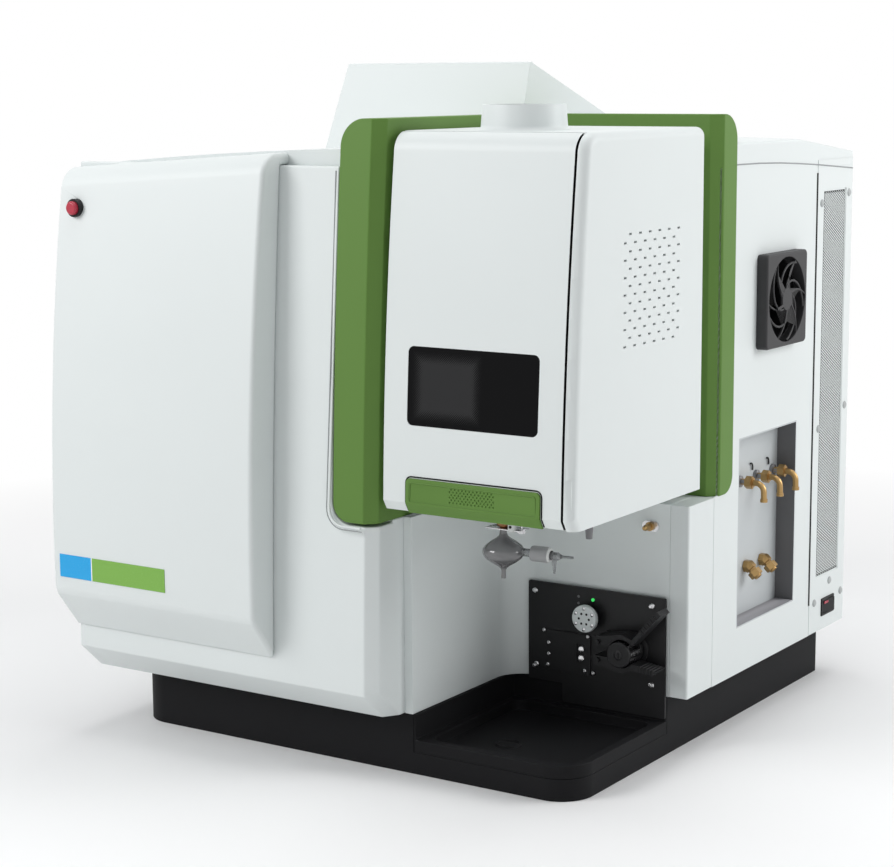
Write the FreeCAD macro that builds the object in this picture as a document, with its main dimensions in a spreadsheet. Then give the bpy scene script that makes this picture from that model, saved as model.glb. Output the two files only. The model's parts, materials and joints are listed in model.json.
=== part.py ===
import FreeCAD, Part
import math
import os
import re
import Sketcher

# Bench-top plasma emission spectrometer.
# Millimetres, +Z up, front towards -Y. The origin is the centre of the plinth's
# foot. Unless a comment says otherwise, sizes across run leftwards from the
# plinth's right face and sizes in depth run backwards from its front face.

V = FreeCAD.Vector
SIZES = {
    # plinth and drip tray
    "base_width": 702,
    "base_depth": 724,
    "base_height": 79,
    "base_round": 46,
    "tray_width": 237,
    "tray_depth": 243,
    "tray_floor": 29,
    "tray_rim": 46,
    "tray_lip": 13,
    "tray_skin": 4,
    "tray_upstand": 3,
    "basin_round": 18,
    "drain_radius": 17,
    "drain_across": 144,
    "drain_back": 80,
    "drain_wall": 3,
    "seat_gap": 0.3,
    "run_gap": 0.1,
    # enclosure
    "side_overhang": 29,
    "left_overhang": 41,
    "rear_overhang": 28,
    "seam_height": 765,
    "front_lip": 10,
    "sheet": 2,
    "chin_reach": 31,
    "belly_reach": 70,
    "belly_height": 115,
    "brow_reach": 38,
    "front_bow": 6,
    "notch_width": 250,
    "notch_depth": 313,
    "sample_depth": 243,
    "sample_width": 238,
    "sample_height": 257,
    "liner_round": 40,
    "liner_skin": 3,
    "liner_flange": 12,
    "column_width": 27,
    "column_depth": 72,
    "column_round": 3,
    # left front cover
    "cover_edge": 404,
    "cover_foot": 137,
    "cover_foot_reach": 65,
    "cover_belly": 201,
    "cover_belly_reach": 114,
    "cover_shoulder": 742,
    "cover_shoulder_reach": 76,
    "cover_bow": 12,
    "cover_top_left": 768,
    "cover_top_right": 791,
    "cover_top_back": 45,
    "cover_top_bow": 7,
    "badge_width": 184,
    "badge_height": 31,
    "badge_middle": 92,
    "badge_level": 238,
    "badge_skin": 0.6,
    "badge_reach": 115.2,
    "button_radius": 9,
    "button_level": 716,
    "button_inset": 30,
    "button_travel": 3,
    "button_reach": 93,
    "collar_ring": 3,
    "collar_proud": 6,
    "collar_depth": 14,
    # lid and hood
    "lid_left": 770,
    "lid_right": 796,
    "lid_bow": 12,
    "lid_setback": 22,
    "lid_tail": 750,
    "lid_slope_start": 560,
    "lid_slope_end": 754,
    "lid_round": 4,
    "hood_left": 592,
    "hood_right": 266,
    "hood_front": 300,
    "hood_top": 905,
    "hood_lean": 36,
    "hood_side_lean": 24,
    "hood_tail": 700,
    "hood_peak": 344,
    "hood_base": 776,
    "hood_round": 6,
    # frame round the notch
    "frame_strip": 46,
    "frame_bevel": 14,
    "frame_skin": 14,
    "frame_proud": 2,
    "frame_foot": 336,
    "frame_top": 834,
    "frame_round": 34,
    "frame_foot_round": 24,
    "frame_groove": 4,
    "frame_back": 22,
    "frame_leg": 52,
    "frame_top_bevel": 7,
    # torch compartment
    "torch_left": 241,
    "torch_foot": 345,
    "torch_top": 819,
    "torch_rear": 272,
    "torch_wall": 4,
    "torch_chin_reach": 42,
    "torch_belly": 368,
    "torch_belly_reach": 56,
    "torch_brow": 792,
    "torch_brow_reach": 25,
    "torch_bow": 5,
    "torch_edge_round": 12,
    "neck_inset": 10,
    "door_right": 14,
    "door_depth": 20,
    "door_skin": 3,
    "door_gap": 2,
    "door_foot": 356,
    "door_stile": 16,
    "window_left": 207,
    "window_right": 21,
    "window_low": 464,
    "window_high": 561,
    "window_round": 8,
    "handle_left": 206,
    "handle_right": 15,
    "handle_top": 399,
    "handle_proud": 3,
    "handle_low": 361,
    "handle_round": 6,
    "handle_rim": 5,
    "handle_recess": 1.2,
    "hinge_pin_radius": 2,
    "hinge_inset": 5,
    "hinge_depth": 5,
    "hinge_swing": 3,
    "hinge_low": 470,
    "hinge_high": 680,
    "hinge_pin_reach": 10,
    "knuckle_height": 10,
    "knuckle_radius": 4,
    "knuckle_room": 3,
    "slot_width": 7,
    "slot_height": 2.6,
    "slot_rows": 14,
    "slot_columns": 6,
    "slot_row_pitch": 10.4,
    "slot_column_pitch": 25,
    "slot_front": 64,
    "slot_low": 560,
    "collar_radius": 52,
    "collar_wall": 3,
    "collar_rise": 31,
    "collar_across": 112,
    "collar_back": 68,
    "collar_flare": 6,
    "chimney_level": 640,
    "chimney_radius": 62,
    # plasma torch
    "torch_across": 124,
    "torch_back": 32,
    "tube_radius": 10,
    "tube_wall": 1.2,
    "tube_foot": 420,
    "tube_top": 575,
    "mount_radius": 24,
    "mount_flange": 8,
    "coil_radius": 33,
    "coil_bore": 13,
    "coil_slit": 3,
    "coil_skin": 4,
    "coil_level": 500,
    "coil_gap": 14,
    # sample introduction
    "chamber_radius": 25,
    "chamber_level": 300,
    "chamber_rise": 24,
    "chamber_waist": 6,
    "chamber_glass": 1.6,
    "neck_radius": 8,
    "drain_tip": 262,
    "drain_tube": 3,
    "arm_angle": 8.5,
    "arm_length": 34,
    "sleeve_radius": 12,
    "sleeve_length": 26,
    "ring_length": 5,
    "spray_radius": 5,
    "spray_length": 22,
    "needle_radius": 1.6,
    "needle_length": 14,
    "clamp_plate": 3,
    "clamp_width": 22,
    "clamp_length": 54,
    "clamp_level": 326,
    "peg_across": -8,
    "peg_back": 20,
    "peg_radius": 5,
    "peg_length": 12,
    "port_across": 26,
    "port_level": 305,
    "port_radius": 4,
    "port_length": 18,
    "port_plate": 24,
    "port_plate_height": 14,
    # module
    "module_right": 0,
    "module_left": 208,
    "module_top": 212,
    "module_foot": 50,
    "module_step": 76,
    "module_notch": 155,
    "module_skin": 3,
    "pump_across": 46,
    "pump_level": 140,
    "pump_radius": 17,
    "pump_length": 44,
    "pump_flange": 22,
    "roller_radius": 4,
    "roller_count": 6,
    "disc_skin": 5,
    "clamp_pivot_across": 80,
    "clamp_pivot_rise": 12,
    "pivot_radius": 3,
    "shoe_skin": 7,
    "shoe_gap": 2,
    "shoe_width": 26,
    "valve_across": 112,
    "valve_level": 174,
    "valve_radius": 16,
    "valve_depth": 18,
    "valve_collar": 13,
    "port_count": 6,
    "port_ring": 10,
    "fitting_radius": 2.6,
    "lamp_radius": 2.2,
    "lamp_across": 108,
    "lamp_level": 197,
    "subplate_left": 189,
    "subplate_right": 111,
    "subplate_low": 92,
    "subplate_high": 148,
    "module_screw": 3,
    "screw_inset": 9,
    # right side
    "recess_front": 387,
    "recess_rear": 572,
    "recess_low": 143,
    "recess_high": 404,
    "recess_depth": 30,
    "recess_skin": 2,
    "gas_back": 446,
    "gas_pitch": 53,
    "gas_level": 334,
    "gas_across": 22,
    "nut_radius": 9,
    "elbow_radius": 4.5,
    "elbow_run": 17,
    "elbow_drop": 20,
    "water_back": 470,
    "water_pitch": 50,
    "water_level": 212,
    "water_length": 34,
    "fan_middle": 498,
    "fan_level": 582,
    "fan_size": 128,
    "fan_proud": 16,
    "fan_bore": 58,
    "fan_hub": 15,
    "fan_ring": 3,
    "fan_skin": 3,
    "fan_blades": 6,
    "fan_well": 38,
    "fan_round": 7,
    "rotor_hub": 20,
    "rotor_blades": 7,
    "rotor_depth": 22,
    "shaft_radius": 4,
    "side_split": 315,
    "vent_split": 627,
    "vent_gap": 4,
    "mesh_front": 651,
    "mesh_rear": 730,
    "mesh_low": 160,
    "mesh_high": 722,
    "vent_low": 125,
    "rocker_middle": 693,
    "rocker_level": 112,
    "rocker_width": 44,
    "rocker_height": 26,
    "rocker_rim": 3,
    "rocker_depth": 14,
    "rocker_play": 2.6,
    "inlet_width": 48,
    "inlet_height": 28,
    "inlet_across": 180,
    "inlet_level": 130,
    "screw_radius": 5.5,
}
PLACES = {
    "right_face": "base_width / 2",
    "left_face": "-base_width / 2",
    "front_face": "-base_depth / 2",
    "rear_face": "base_depth / 2",
    "side_plane": "base_width / 2 + side_overhang",
    "left_plane": "-base_width / 2 - left_overhang",
    "rear_plane": "base_depth / 2 + rear_overhang",
    "notch_x": "base_width / 2 - notch_width",
    "notch_y": "notch_depth - base_depth / 2",
    "liner_x": "base_width / 2 - sample_width",
    "liner_y": "sample_depth - base_depth / 2",
    "ceiling": "base_height + sample_height",
    "door_line": "base_width / 2 + door_right",
    "torch_x": "base_width / 2 - torch_across",
    "torch_y": "torch_back - base_depth / 2",
    "pump_x": "base_width / 2 - pump_across",
    "panel_y": "sample_depth - base_depth / 2 - tray_upstand - 2 * seat_gap - module_skin",
}
doc = FreeCAD.newDocument("spectrometer")
nodes = []


def make_sheets():
    """Writes the driving sizes and the places worked out from them."""
    sizes = doc.addObject("Spreadsheet::Sheet", "Sizes")
    for row, (word, number) in enumerate(SIZES.items(), 1):
        sizes.set(f"A{row}", word)
        sizes.set(f"B{row}", str(number))
        sizes.setAlias(f"B{row}", word)
    doc.recompute()
    places = doc.addObject("Spreadsheet::Sheet", "Places")
    for row, (word, text) in enumerate(PLACES.items(), 1):
        places.set(f"A{row}", word)
        places.set(f"B{row}", "=" + formula(text))
        places.setAlias(f"B{row}", word)
    doc.recompute()
    return sizes, places


def formula(text):
    """Points each word of a size at its sheet."""
    def cell(found):
        word = found.group()
        return ("Sizes." if word in SIZES else "Places." if word in PLACES else "") + word
    return re.sub(r"[a-z][a-z_]+", cell, str(text))


scratch = {}


def value(text):
    """The present number of a size expression, read back through the document."""
    if text not in scratch:
        probe = doc.addObject("App::FeaturePython", "Probe")
        probe.addProperty("App::PropertyFloat", "Number")
        probe.setExpression("Number", formula(text))
        probe.recompute()
        scratch[text] = probe.Number
        doc.removeObject(probe.Name)
    return scratch[text]


def bind(item, sizes):
    """Binds properties, or parts of a placement, to size expressions."""
    for path, text in sizes.items():
        item.setExpression(path, formula(text))


def keep(item, label):
    """Names a finished sub-part and adds it to the set that is written."""
    item.Label = label
    nodes.append(item)
    return item


def at(item, place):
    """Puts an item at a point of three size expressions."""
    bind(item, dict(zip(("Placement.Base.x", "Placement.Base.y", "Placement.Base.z"), place)))
    return item


def box(size, corner):
    item = doc.addObject("Part::Box", "Box")
    bind(item, dict(zip(("Length", "Width", "Height"), size)))
    return at(item, corner)


TURNS = {
    "x": FreeCAD.Rotation(V(0, 0, 1), V(1, 0, 0)),
    "y": FreeCAD.Rotation(V(0, 0, 1), V(0, 1, 0)),
    "-y": FreeCAD.Rotation(V(0, 0, 1), V(0, -1, 0)),
    "z": FreeCAD.Rotation(),
    "-z": FreeCAD.Rotation(V(0, 0, 1), V(0, 0, -1)),
}


def direction(axis):
    """The turn that lays +Z along an axis, given by its letter or as a vector."""
    return TURNS[axis] if isinstance(axis, str) else FreeCAD.Rotation(V(0, 0, 1), axis)


def rod(radius, length, foot, axis="z"):
    """A round bar that runs from its foot along an axis."""
    item = doc.addObject("Part::Cylinder", "Rod")
    item.Placement = FreeCAD.Placement(V(), direction(axis))
    bind(item, {"Radius": radius, "Height": length})
    return at(item, foot)


def cone(low, high, length, foot, axis="z"):
    item = doc.addObject("Part::Cone", "Cone")
    item.Placement = FreeCAD.Placement(V(), direction(axis))
    bind(item, {"Radius1": low, "Radius2": high, "Height": length})
    return at(item, foot)


def hexagon(radius, length, foot, axis="z"):
    item = doc.addObject("Part::Prism", "Hexagon")
    item.Polygon = 6
    item.Placement = FreeCAD.Placement(V(), direction(axis))
    bind(item, {"Circumradius": radius, "Height": length})
    return at(item, foot)


def fuse(*shapes):
    item = doc.addObject("Part::MultiFuse", "Fuse")
    item.Shapes = list(shapes)
    item.Refine = True
    return item


def group(*shapes):
    """Several like solids that share one node."""
    item = doc.addObject("Part::Compound", "Group")
    item.Links = list(shapes)
    return item


def cut(base, *tools):
    item = doc.addObject("Part::Cut", "Cut")
    item.Base = base
    item.Tool = tools[0] if len(tools) == 1 else group(*tools)
    return item


def common(first, second):
    item = doc.addObject("Part::Common", "Common")
    item.Base = first
    item.Tool = second
    return item


def arc_middle(start, end, bow):
    """The point of an arc halfway between its ends, bowed out of an outline drawn anticlockwise."""
    way = end - start
    side = V(way.y, -way.x, 0).normalize()
    return (start + end) * 0.5 + side * bow


def outline(body, plane, points, bows=None, offset=None):
    """A closed sketch through points given as pairs of size expressions.

    bows maps the number of a side to the rise of its arc, less than nothing where it is hollow."""
    sketch = body.newObject("Sketcher::SketchObject", "Sketch")
    origin = [face for face in body.Origin.OriginFeatures if face.Role == plane + "_Plane"][0]
    sketch.AttachmentSupport = [(origin, "")]
    sketch.MapMode = "FlatFace"
    if offset is not None:
        bind(sketch, {"AttachmentOffset.Base.z": f"-({offset})" if plane == "XZ" else offset})
    spots = [V(value(u), value(v), 0) for u, v in points]
    bows = bows or {}
    count = len(spots)
    reversed_sides = set()
    for side, start in enumerate(spots):
        end = spots[(side + 1) % count]
        if side in bows:
            rise = value(bows[side])
            middle = arc_middle(start, end, rise)
            if rise < 0:
                reversed_sides.add(side)
                sketch.addGeometry(Part.Arc(end, middle, start), False)
            else:
                sketch.addGeometry(Part.Arc(start, middle, end), False)
        else:
            sketch.addGeometry(Part.LineSegment(start, end), False)
    starts = [2 if side in reversed_sides else 1 for side in range(count)]
    for side in range(count):
        after = (side + 1) % count
        sketch.addConstraint(
            Sketcher.Constraint("Coincident", side, 3 - starts[side], after, starts[after]))
    for side, (u, v) in enumerate(points):
        for way, text, number in (("DistanceX", u, spots[side].x), ("DistanceY", v, spots[side].y)):
            place = sketch.addConstraint(
                Sketcher.Constraint(way, -1, 1, side, starts[side], number))
            sketch.setExpression(f"Constraints[{place}]", formula(text))
    for side in bows:
        start, end = spots[side], spots[(side + 1) % count]
        place = sketch.addConstraint(
            Sketcher.Constraint("Radius", side, sketch.Geometry[side].Radius))
        names = [formula(t) for t in points[side] + points[(side + 1) % count]]
        chord = "(({2}) - ({0})) ^ 2 + (({3}) - ({1})) ^ 2".format(*names)
        rise = formula(bows[side]).lstrip("-")
        sketch.setExpression(f"Constraints[{place}]", f"({chord}) / (8 * {rise}) + {rise} / 2")
    return sketch


def pad(plane, points, length, start="0", bows=None):
    """A body padded from a closed outline, from its start towards the plane's far side."""
    body = doc.addObject("PartDesign::Body", "Body")
    sketch = outline(body, plane, points, bows, start)
    feature = body.newObject("PartDesign::Pad", "Pad")
    feature.Profile = sketch
    feature.Reversed = plane == "XZ"
    bind(feature, {"Length": length})
    doc.recompute()
    return body


def turned(points, foot, axis="z", bows=None):
    """A body turned from pairs of radius and height, standing on its foot along an axis."""
    body = doc.addObject("PartDesign::Body", "Turned")
    sketch = outline(body, "XZ", points, bows)
    feature = body.newObject("PartDesign::Revolution", "Revolution")
    feature.Profile = sketch
    feature.ReferenceAxis = (sketch, ["V_Axis"])
    feature.Angle = 360
    doc.recompute()
    body.Placement = FreeCAD.Placement(V(), direction(axis))
    return at(body, foot)


def loft(plane, first, second, bows=None):
    """A body lofted between two like outlines, each with its place on the plane's normal."""
    body = doc.addObject("PartDesign::Body", "Loft")
    low = outline(body, plane, first[1], bows, first[0])
    high = outline(body, plane, second[1], bows, second[0])
    feature = body.newObject("PartDesign::AdditiveLoft", "Loft")
    feature.Profile = low
    feature.Sections = [high]
    feature.Ruled = True
    doc.recompute()
    return body


def edge_names(shape, test):
    """The names of the edges that pass a test of their two ends."""
    names = []
    for number, edge in enumerate(shape.Edges, 1):
        ends = [edge.valueAt(edge.FirstParameter), edge.valueAt(edge.LastParameter)]
        if test(ends[0], ends[1]):
            names.append(f"Edge{number}")
    return names


def along(axis, spots, slack=0.6):
    """A test for edges along an axis that pass the given points of the other two axes."""
    others = [name for name in "xyz" if name != axis]

    def test(one, two):
        if abs(getattr(one, axis) - getattr(two, axis)) < 1:
            return False
        for spot in spots:
            if all(abs(getattr(end, name) - place) < slack
                   for end in (one, two) for name, place in zip(others, spot)):
                return True
        return False
    return test


def either(first, second):
    return lambda one, two: first(one, two) or second(one, two)


def soften(body, test, radius, kind="Fillet"):
    """Rounds or bevels the edges of a body's tip that pass a test."""
    tip = body.Tip
    names = edge_names(tip.Shape, test)
    if not names:
        raise ValueError(f"no edge to soften on {body.Name}")
    feature = body.newObject("PartDesign::" + kind, kind)
    feature.Base = (tip, names)
    bind(feature, {"Radius" if kind == "Fillet" else "Size": radius})
    doc.recompute()
    return body


def pocket(body, plane, points, start, length, bows=None):
    """Cuts a closed outline out of a body, from its start towards the plane's far side."""
    before = body.Shape.Volume
    sketch = outline(body, plane, points, bows, start)
    feature = body.newObject("PartDesign::Pocket", "Pocket")
    feature.Profile = sketch
    feature.Reversed = plane != "XZ"
    bind(feature, {"Length": length})
    doc.recompute()
    if body.Shape.Volume > before - 0.01:
        raise ValueError(f"a pocket of {body.Name} cut nothing")
    return body


def rectangle(left, low, right, high):
    return [(left, low), (right, low), (right, high), (left, high)]


def rounded(left, low, right, high, radius):
    """A rectangle with round corners, as points and the rise of each corner's arc."""
    radius = f"({radius})"
    points = [(f"{left} + {radius}", low), (f"{right} - {radius}", low),
              (right, f"{low} + {radius}"), (right, f"{high} - {radius}"),
              (f"{right} - {radius}", high), (f"{left} + {radius}", high),
              (left, f"{high} - {radius}"), (left, f"{low} + {radius}")]
    return points, {side: f"{radius} * (1 - sqrt(0.5))" for side in (1, 3, 5, 7)}


def corners(*points):
    """Present numbers of points given as size expressions."""
    return [tuple(value(text) for text in point) for point in points]


def across(text):
    """A place to the left of the plinth's right face."""
    return f"right_face - ({text})"


def back(text):
    """A place behind the plinth's front face."""
    return f"front_face + ({text})"


def ahead(text):
    """A place in front of the plinth's front face."""
    return f"front_face - ({text})"


sizes, places = make_sheets()
side_sheet = "side_plane - sheet"
frame_side = "side_plane + frame_proud"
frame_rear = back("notch_depth + frame_leg")


def make_plinth():
    """Moulded foot with a well at its front right corner for the drip tray."""
    body = pad("XY", rectangle("left_face", "front_face", "right_face", "rear_face"), "base_height")
    pocket(body, "XY",
           rectangle(across("tray_width"), "front_face", "right_face", back("tray_depth")),
           "tray_floor", "base_height")
    soften(body, along("z", corners(("right_face", "front_face"), ("left_face", "front_face"))),
           "base_round")
    return keep(body, "base_plinth")


def make_tray():
    """Moulded tray: a rim round a basin with a drain ring, and upstands along two sides."""
    left, rear = across("tray_width - seat_gap"), back("tray_depth - seat_gap")
    body = pad("XY", rectangle(left, "front_face", "right_face", rear),
               "base_height - tray_floor", "tray_floor")
    pocket(body, "XY", rectangle(f"{left} + tray_upstand", "front_face", "right_face",
                                 f"{rear} - tray_upstand"), "tray_rim", "base_height")
    soften(body, along("z", corners(("right_face", "front_face"))), "base_round")
    inner_left, inner_rear = f"{left} + tray_upstand + tray_lip", f"{rear} - tray_upstand - tray_lip"
    points, bows = rounded(inner_left, back("tray_lip"), "right_face - tray_lip", inner_rear,
                           "basin_round")
    pocket(body, "XY", points, "tray_floor + tray_skin", "base_height", bows)
    spot = (across("drain_across"), back("drain_back"), "tray_floor + tray_skin")
    ring = cut(rod("drain_radius", "drain_wall", spot),
               rod("drain_radius - drain_wall", "drain_wall", spot))
    return keep(fuse(body, ring), "drip_tray")


def make_frame():
    """Moulded green frame that lines the notch, with a strip on the front and one on the side."""
    reach = "frame_proud"
    body = pad("YZ", [
        (ahead(f"belly_reach - 4 + {reach}"), "frame_foot"),
        (frame_rear, "frame_foot"),
        (frame_rear, "frame_top"),
        (ahead(f"brow_reach - 2 + {reach}"), "frame_top"),
    ], f"{frame_side} - notch_x + frame_strip + frame_bevel", "notch_x - frame_strip - frame_bevel",
        {3: "front_bow * 0.6"})
    strip_left = "notch_x - frame_strip - frame_bevel"
    pocket(body, "XY", rectangle("notch_x", ahead("belly_reach + 20"), frame_side, "notch_y"),
           "frame_foot", "frame_top")
    for level, radius in (("frame_top", "frame_round"), ("frame_foot", "frame_foot_round")):
        front, side = corners((strip_left, level), (frame_rear, level))
        soften(body, either(along("y", [front]), along("x", [side])), radius)
    mouth = value("notch_x")

    def front_edge(one, two):
        return (abs(one.x - mouth) < 0.1 and abs(two.x - mouth) < 0.1 and abs(one.z - two.z) > 1
                and max(one.y, two.y) < value("front_face"))
    soften(body, front_edge, "frame_bevel", "Chamfer")
    soften(body, along("z", corners((frame_side, "notch_y"))), "frame_bevel", "Chamfer")
    pocket(body, "XY", rectangle(strip_left, back("-frame_back"), "notch_x - frame_skin",
                                 frame_rear), "frame_foot", "seam_height - frame_foot")
    pocket(body, "XY", rectangle("notch_x - frame_skin", "notch_y + frame_skin",
                                 "side_plane - frame_skin", frame_rear),
           "frame_foot", "seam_height - frame_foot")
    return keep(body, "green_frame")


def make_left_housing(frame):
    """Left half of the enclosure: a leaning front with a bevelled chin, cut out for the frame."""
    body = pad("YZ", [
        (ahead("chin_reach"), "base_height"),
        ("rear_plane - sheet", "base_height"),
        ("rear_plane - sheet", "seam_height"),
        (ahead("lid_setback"), "seam_height"),
        (ahead("lid_setback"), "seam_height + front_lip"),
        (ahead("brow_reach"), "seam_height + front_lip"),
        (ahead("belly_reach"), "belly_height"),
    ], "notch_x - left_plane", "left_plane", {5: "front_bow"})
    mouth = value("notch_x")

    def front_edge(one, two):
        return (abs(one.x - mouth) < 0.1 and abs(two.x - mouth) < 0.1 and abs(one.z - two.z) > 12
                and max(one.y, two.y) < value("front_face"))
    soften(body, front_edge, "frame_bevel", "Chamfer")
    points, bows = rounded("notch_x - frame_strip - frame_bevel - frame_groove",
                           "frame_foot - frame_groove", "notch_x + frame_round",
                           "frame_top + frame_groove", "frame_foot_round + frame_groove")
    groove = pad("XZ", points, "belly_reach - frame_back + 20", ahead("belly_reach + 20"), bows)
    return keep(cut(body, groove, frame), "left_housing")


def make_liner():
    """Folded sheet that lines the sample compartment: left wall, round corner and rear wall."""
    inner, rear = "liner_x", "liner_y"
    outer, behind = "liner_x - liner_skin", "liner_y + liner_skin"
    body = pad("XY", [
        (f"{inner} - liner_flange", "front_face"),
        (inner, "front_face"),
        (inner, f"{rear} - liner_round"),
        (f"{inner} + liner_round", rear),
        ("side_plane - column_width", rear),
        ("side_plane - column_width", behind),
        (f"{inner} + liner_round", behind),
        (outer, f"{rear} - liner_round"),
        (outer, "front_face + liner_skin"),
        (f"{inner} - liner_flange", "front_face + liner_skin"),
    ], "sample_height", "base_height", {
        2: "-liner_round * (1 - sqrt(0.5))",
        6: "(liner_round + liner_skin) * (1 - sqrt(0.5))",
    })
    return keep(body, "sample_liner")


def make_column():
    """Corner post at the right end of the sample compartment's rear wall."""
    body = pad("XY", rectangle("side_plane - column_width", "liner_y", "side_plane",
                               "liner_y + column_depth"), "sample_height", "base_height")
    soften(body, along("z", corners(("side_plane", "liner_y"))), "column_round")
    return keep(body, "corner_column")


def make_cover():
    """Bulging cover over the left of the front, lofted because its top climbs to the right."""
    def section(top):
        lift = f"({top} - cover_top_left)"
        return [
            (ahead("cover_foot_reach"), "cover_foot"),
            (back("-lid_setback"), "cover_foot"),
            (back("-lid_setback"), top),
            (ahead("cover_top_back"), top),
            (ahead("cover_shoulder_reach"), f"cover_shoulder + {lift}"),
            (ahead("cover_belly_reach"), "cover_belly"),
        ]
    return loft("YZ", ("left_plane", section("cover_top_left")),
                (across("cover_edge"), section("cover_top_right")),
                {3: "cover_top_bow", 4: "cover_bow"})


def make_front_group(housing):
    """The cover with its badge plate and the stop button in its collar."""
    cover = make_cover()
    button = ("left_plane + button_inset", "button_level")
    pocket_foot = (button[0], ahead("button_reach - collar_proud - collar_depth"), button[1])
    seat = rod("button_radius + run_gap + collar_ring", "collar_depth + 20",
               (button[0], pocket_foot[1], button[1]), "-y")
    keep(cut(cover, housing, seat), "left_front_cover")
    well = "button_radius + run_gap"
    collar = turned([
        ("0", "0"),
        (f"{well} + collar_ring", "0"),
        (f"{well} + collar_ring", "collar_depth"),
        (well, "collar_depth"),
        (well, "collar_ring"),
        ("0", "collar_ring"),
    ], pocket_foot, "-y")
    keep(collar, "stop_button_collar")
    cap = turned([
        ("0", "0"),
        ("button_radius", "0"),
        ("button_radius", "collar_depth + collar_proud - collar_ring - button_travel - seat_gap - 2"),
        ("button_radius - 2", "collar_depth + collar_proud - collar_ring - button_travel - seat_gap"),
        ("0", "collar_depth + collar_proud - collar_ring - button_travel - seat_gap"),
    ], (button[0], f"{pocket_foot[1]} - collar_ring - button_travel - seat_gap", button[1]), "-y")
    keep(cap, "stop_button")
    plate = box(("badge_width", "badge_reach - cover_foot_reach", "badge_height"),
                ("left_plane + badge_middle + 10 - badge_width / 2", ahead("badge_reach"),
                 "badge_level - badge_height / 2"))
    keep(cut(plate, cover), "badge_plate")
    return cover


def make_lid(frame, cover):
    """Pressed lid, crowned across and falling away at the rear, cut back round the notch."""
    body = pad("XZ", [
        ("left_plane", "seam_height"),
        ("side_plane", "seam_height"),
        ("side_plane", "lid_right"),
        ("left_plane", "lid_left"),
    ], "lid_tail + lid_setback", ahead("lid_setback"), {2: "lid_bow"})
    soften(body, along("y", corners(("left_plane", "lid_left"), ("side_plane", "lid_right"))),
           "lid_round")
    pocket(body, "XY", rectangle("notch_x", ahead("lid_setback"), "side_plane",
                                 "notch_y + frame_skin"), "seam_height", "lid_right")
    pocket(body, "YZ", [
        (back("lid_slope_start"), "lid_right + lid_bow + 10"),
        (back("lid_slope_start"), "lid_right + lid_bow - 12"),
        (back("lid_tail"), "lid_slope_end + 20"),
        (back("lid_tail + 5"), "lid_right + lid_bow + 10"),
    ], "left_plane", "side_plane - left_plane")
    return cut(body, frame, cover)


def make_hood(lid, frame):
    """Wedge-shaped hood over the exhaust, leaning back and inwards."""
    body = pad("YZ", [
        (back("hood_front"), "seam_height"),
        (back("hood_tail"), "seam_height"),
        (back("hood_tail"), "hood_base"),
        (back("hood_peak"), "hood_top - 4"),
        (back("hood_front + hood_lean"), "hood_top - 6"),
    ], "hood_left - hood_right", across("hood_left"), {3: "3"})
    pocket(body, "XZ", [
        (across("hood_left + 1"), "seam_height"),
        (across("hood_left"), "seam_height"),
        (across("hood_left - hood_side_lean"), "hood_top + 5"),
        (across("hood_left + 1"), "hood_top + 5"),
    ], back("hood_front - 1"), "hood_tail - hood_front + 2")
    crest = value(back("hood_front + hood_lean"))
    soften(body, lambda one, two: abs(one.y - crest) < 0.6 and abs(two.y - crest) < 0.6
           and abs(one.x - two.x) > 1, "hood_round")
    return cut(body, lid, frame)


def make_right_housing(frame, *tools):
    """Right rear block behind the notch and the sample compartment."""
    body = pad("YZ", [
        ("liner_y + liner_skin", "base_height"),
        ("rear_plane - sheet", "base_height"),
        ("rear_plane - sheet", "seam_height"),
        ("notch_y + frame_skin", "seam_height"),
        ("notch_y + frame_skin", "ceiling"),
        ("liner_y + liner_skin", "ceiling"),
    ], f"{side_sheet} - notch_x", "notch_x")
    return keep(cut(body, frame, *tools), "right_housing")


def torch_section(inset):
    """The torch compartment's section set in by a wall, and the rise of its arcs."""
    curl = "torch_top - torch_brow"
    points = [
        (ahead(f"torch_chin_reach - {inset}"), f"torch_foot + {inset}"),
        (back(f"torch_rear - {inset}"), f"torch_foot + {inset}"),
        (back(f"torch_rear - {inset}"), f"torch_top - {inset}"),
        (ahead(f"torch_brow_reach - ({curl})"), f"torch_top - {inset}"),
        (ahead(f"torch_brow_reach - {inset}"), "torch_brow"),
        (ahead(f"torch_belly_reach - {inset}"), "torch_belly"),
    ]
    return points, {3: f"({curl} - {inset}) * (1 - sqrt(0.5))", 4: "torch_bow"}


def door_wedge(gap, left, right, behind="0"):
    """The slice of the compartment's front that the door fills, widened by a gap."""
    return pad("YZ", [
        (ahead("torch_belly_reach + door_depth"), f"door_foot - {gap}"),
        (ahead(f"torch_belly_reach - door_depth - {gap} - {behind}"), f"door_foot - {gap}"),
        (ahead(f"torch_brow_reach - door_depth - {gap} - {behind}"), "torch_top + door_gap"),
        (ahead("torch_belly_reach + door_depth"), "torch_top + door_gap"),
    ], f"{right} - ({left})", left)


def hinge_line():
    """The door's hinge axis, which leans back with the front."""
    return V(0, value("torch_belly_reach - torch_brow_reach"), value("torch_brow - torch_belly"))


def hinge_spot(level):
    """The point of the hinge axis at a level."""
    lean = "(torch_belly_reach - torch_brow_reach) / (torch_brow - torch_belly)"
    return (across("torch_left - hinge_inset"),
            ahead(f"torch_belly_reach - hinge_depth - ({level} - torch_belly) * {lean}"), level)


def hinge_rods(radius, reach="hinge_pin_reach"):
    """Rods on the hinge axis, one at each knuckle, that reach past it at both ends."""
    return [rod(radius, f"knuckle_height + 2 * {reach}", hinge_spot(f"{level} - {reach}"),
                hinge_line()) for level in ("hinge_low", "hinge_high")]


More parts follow.
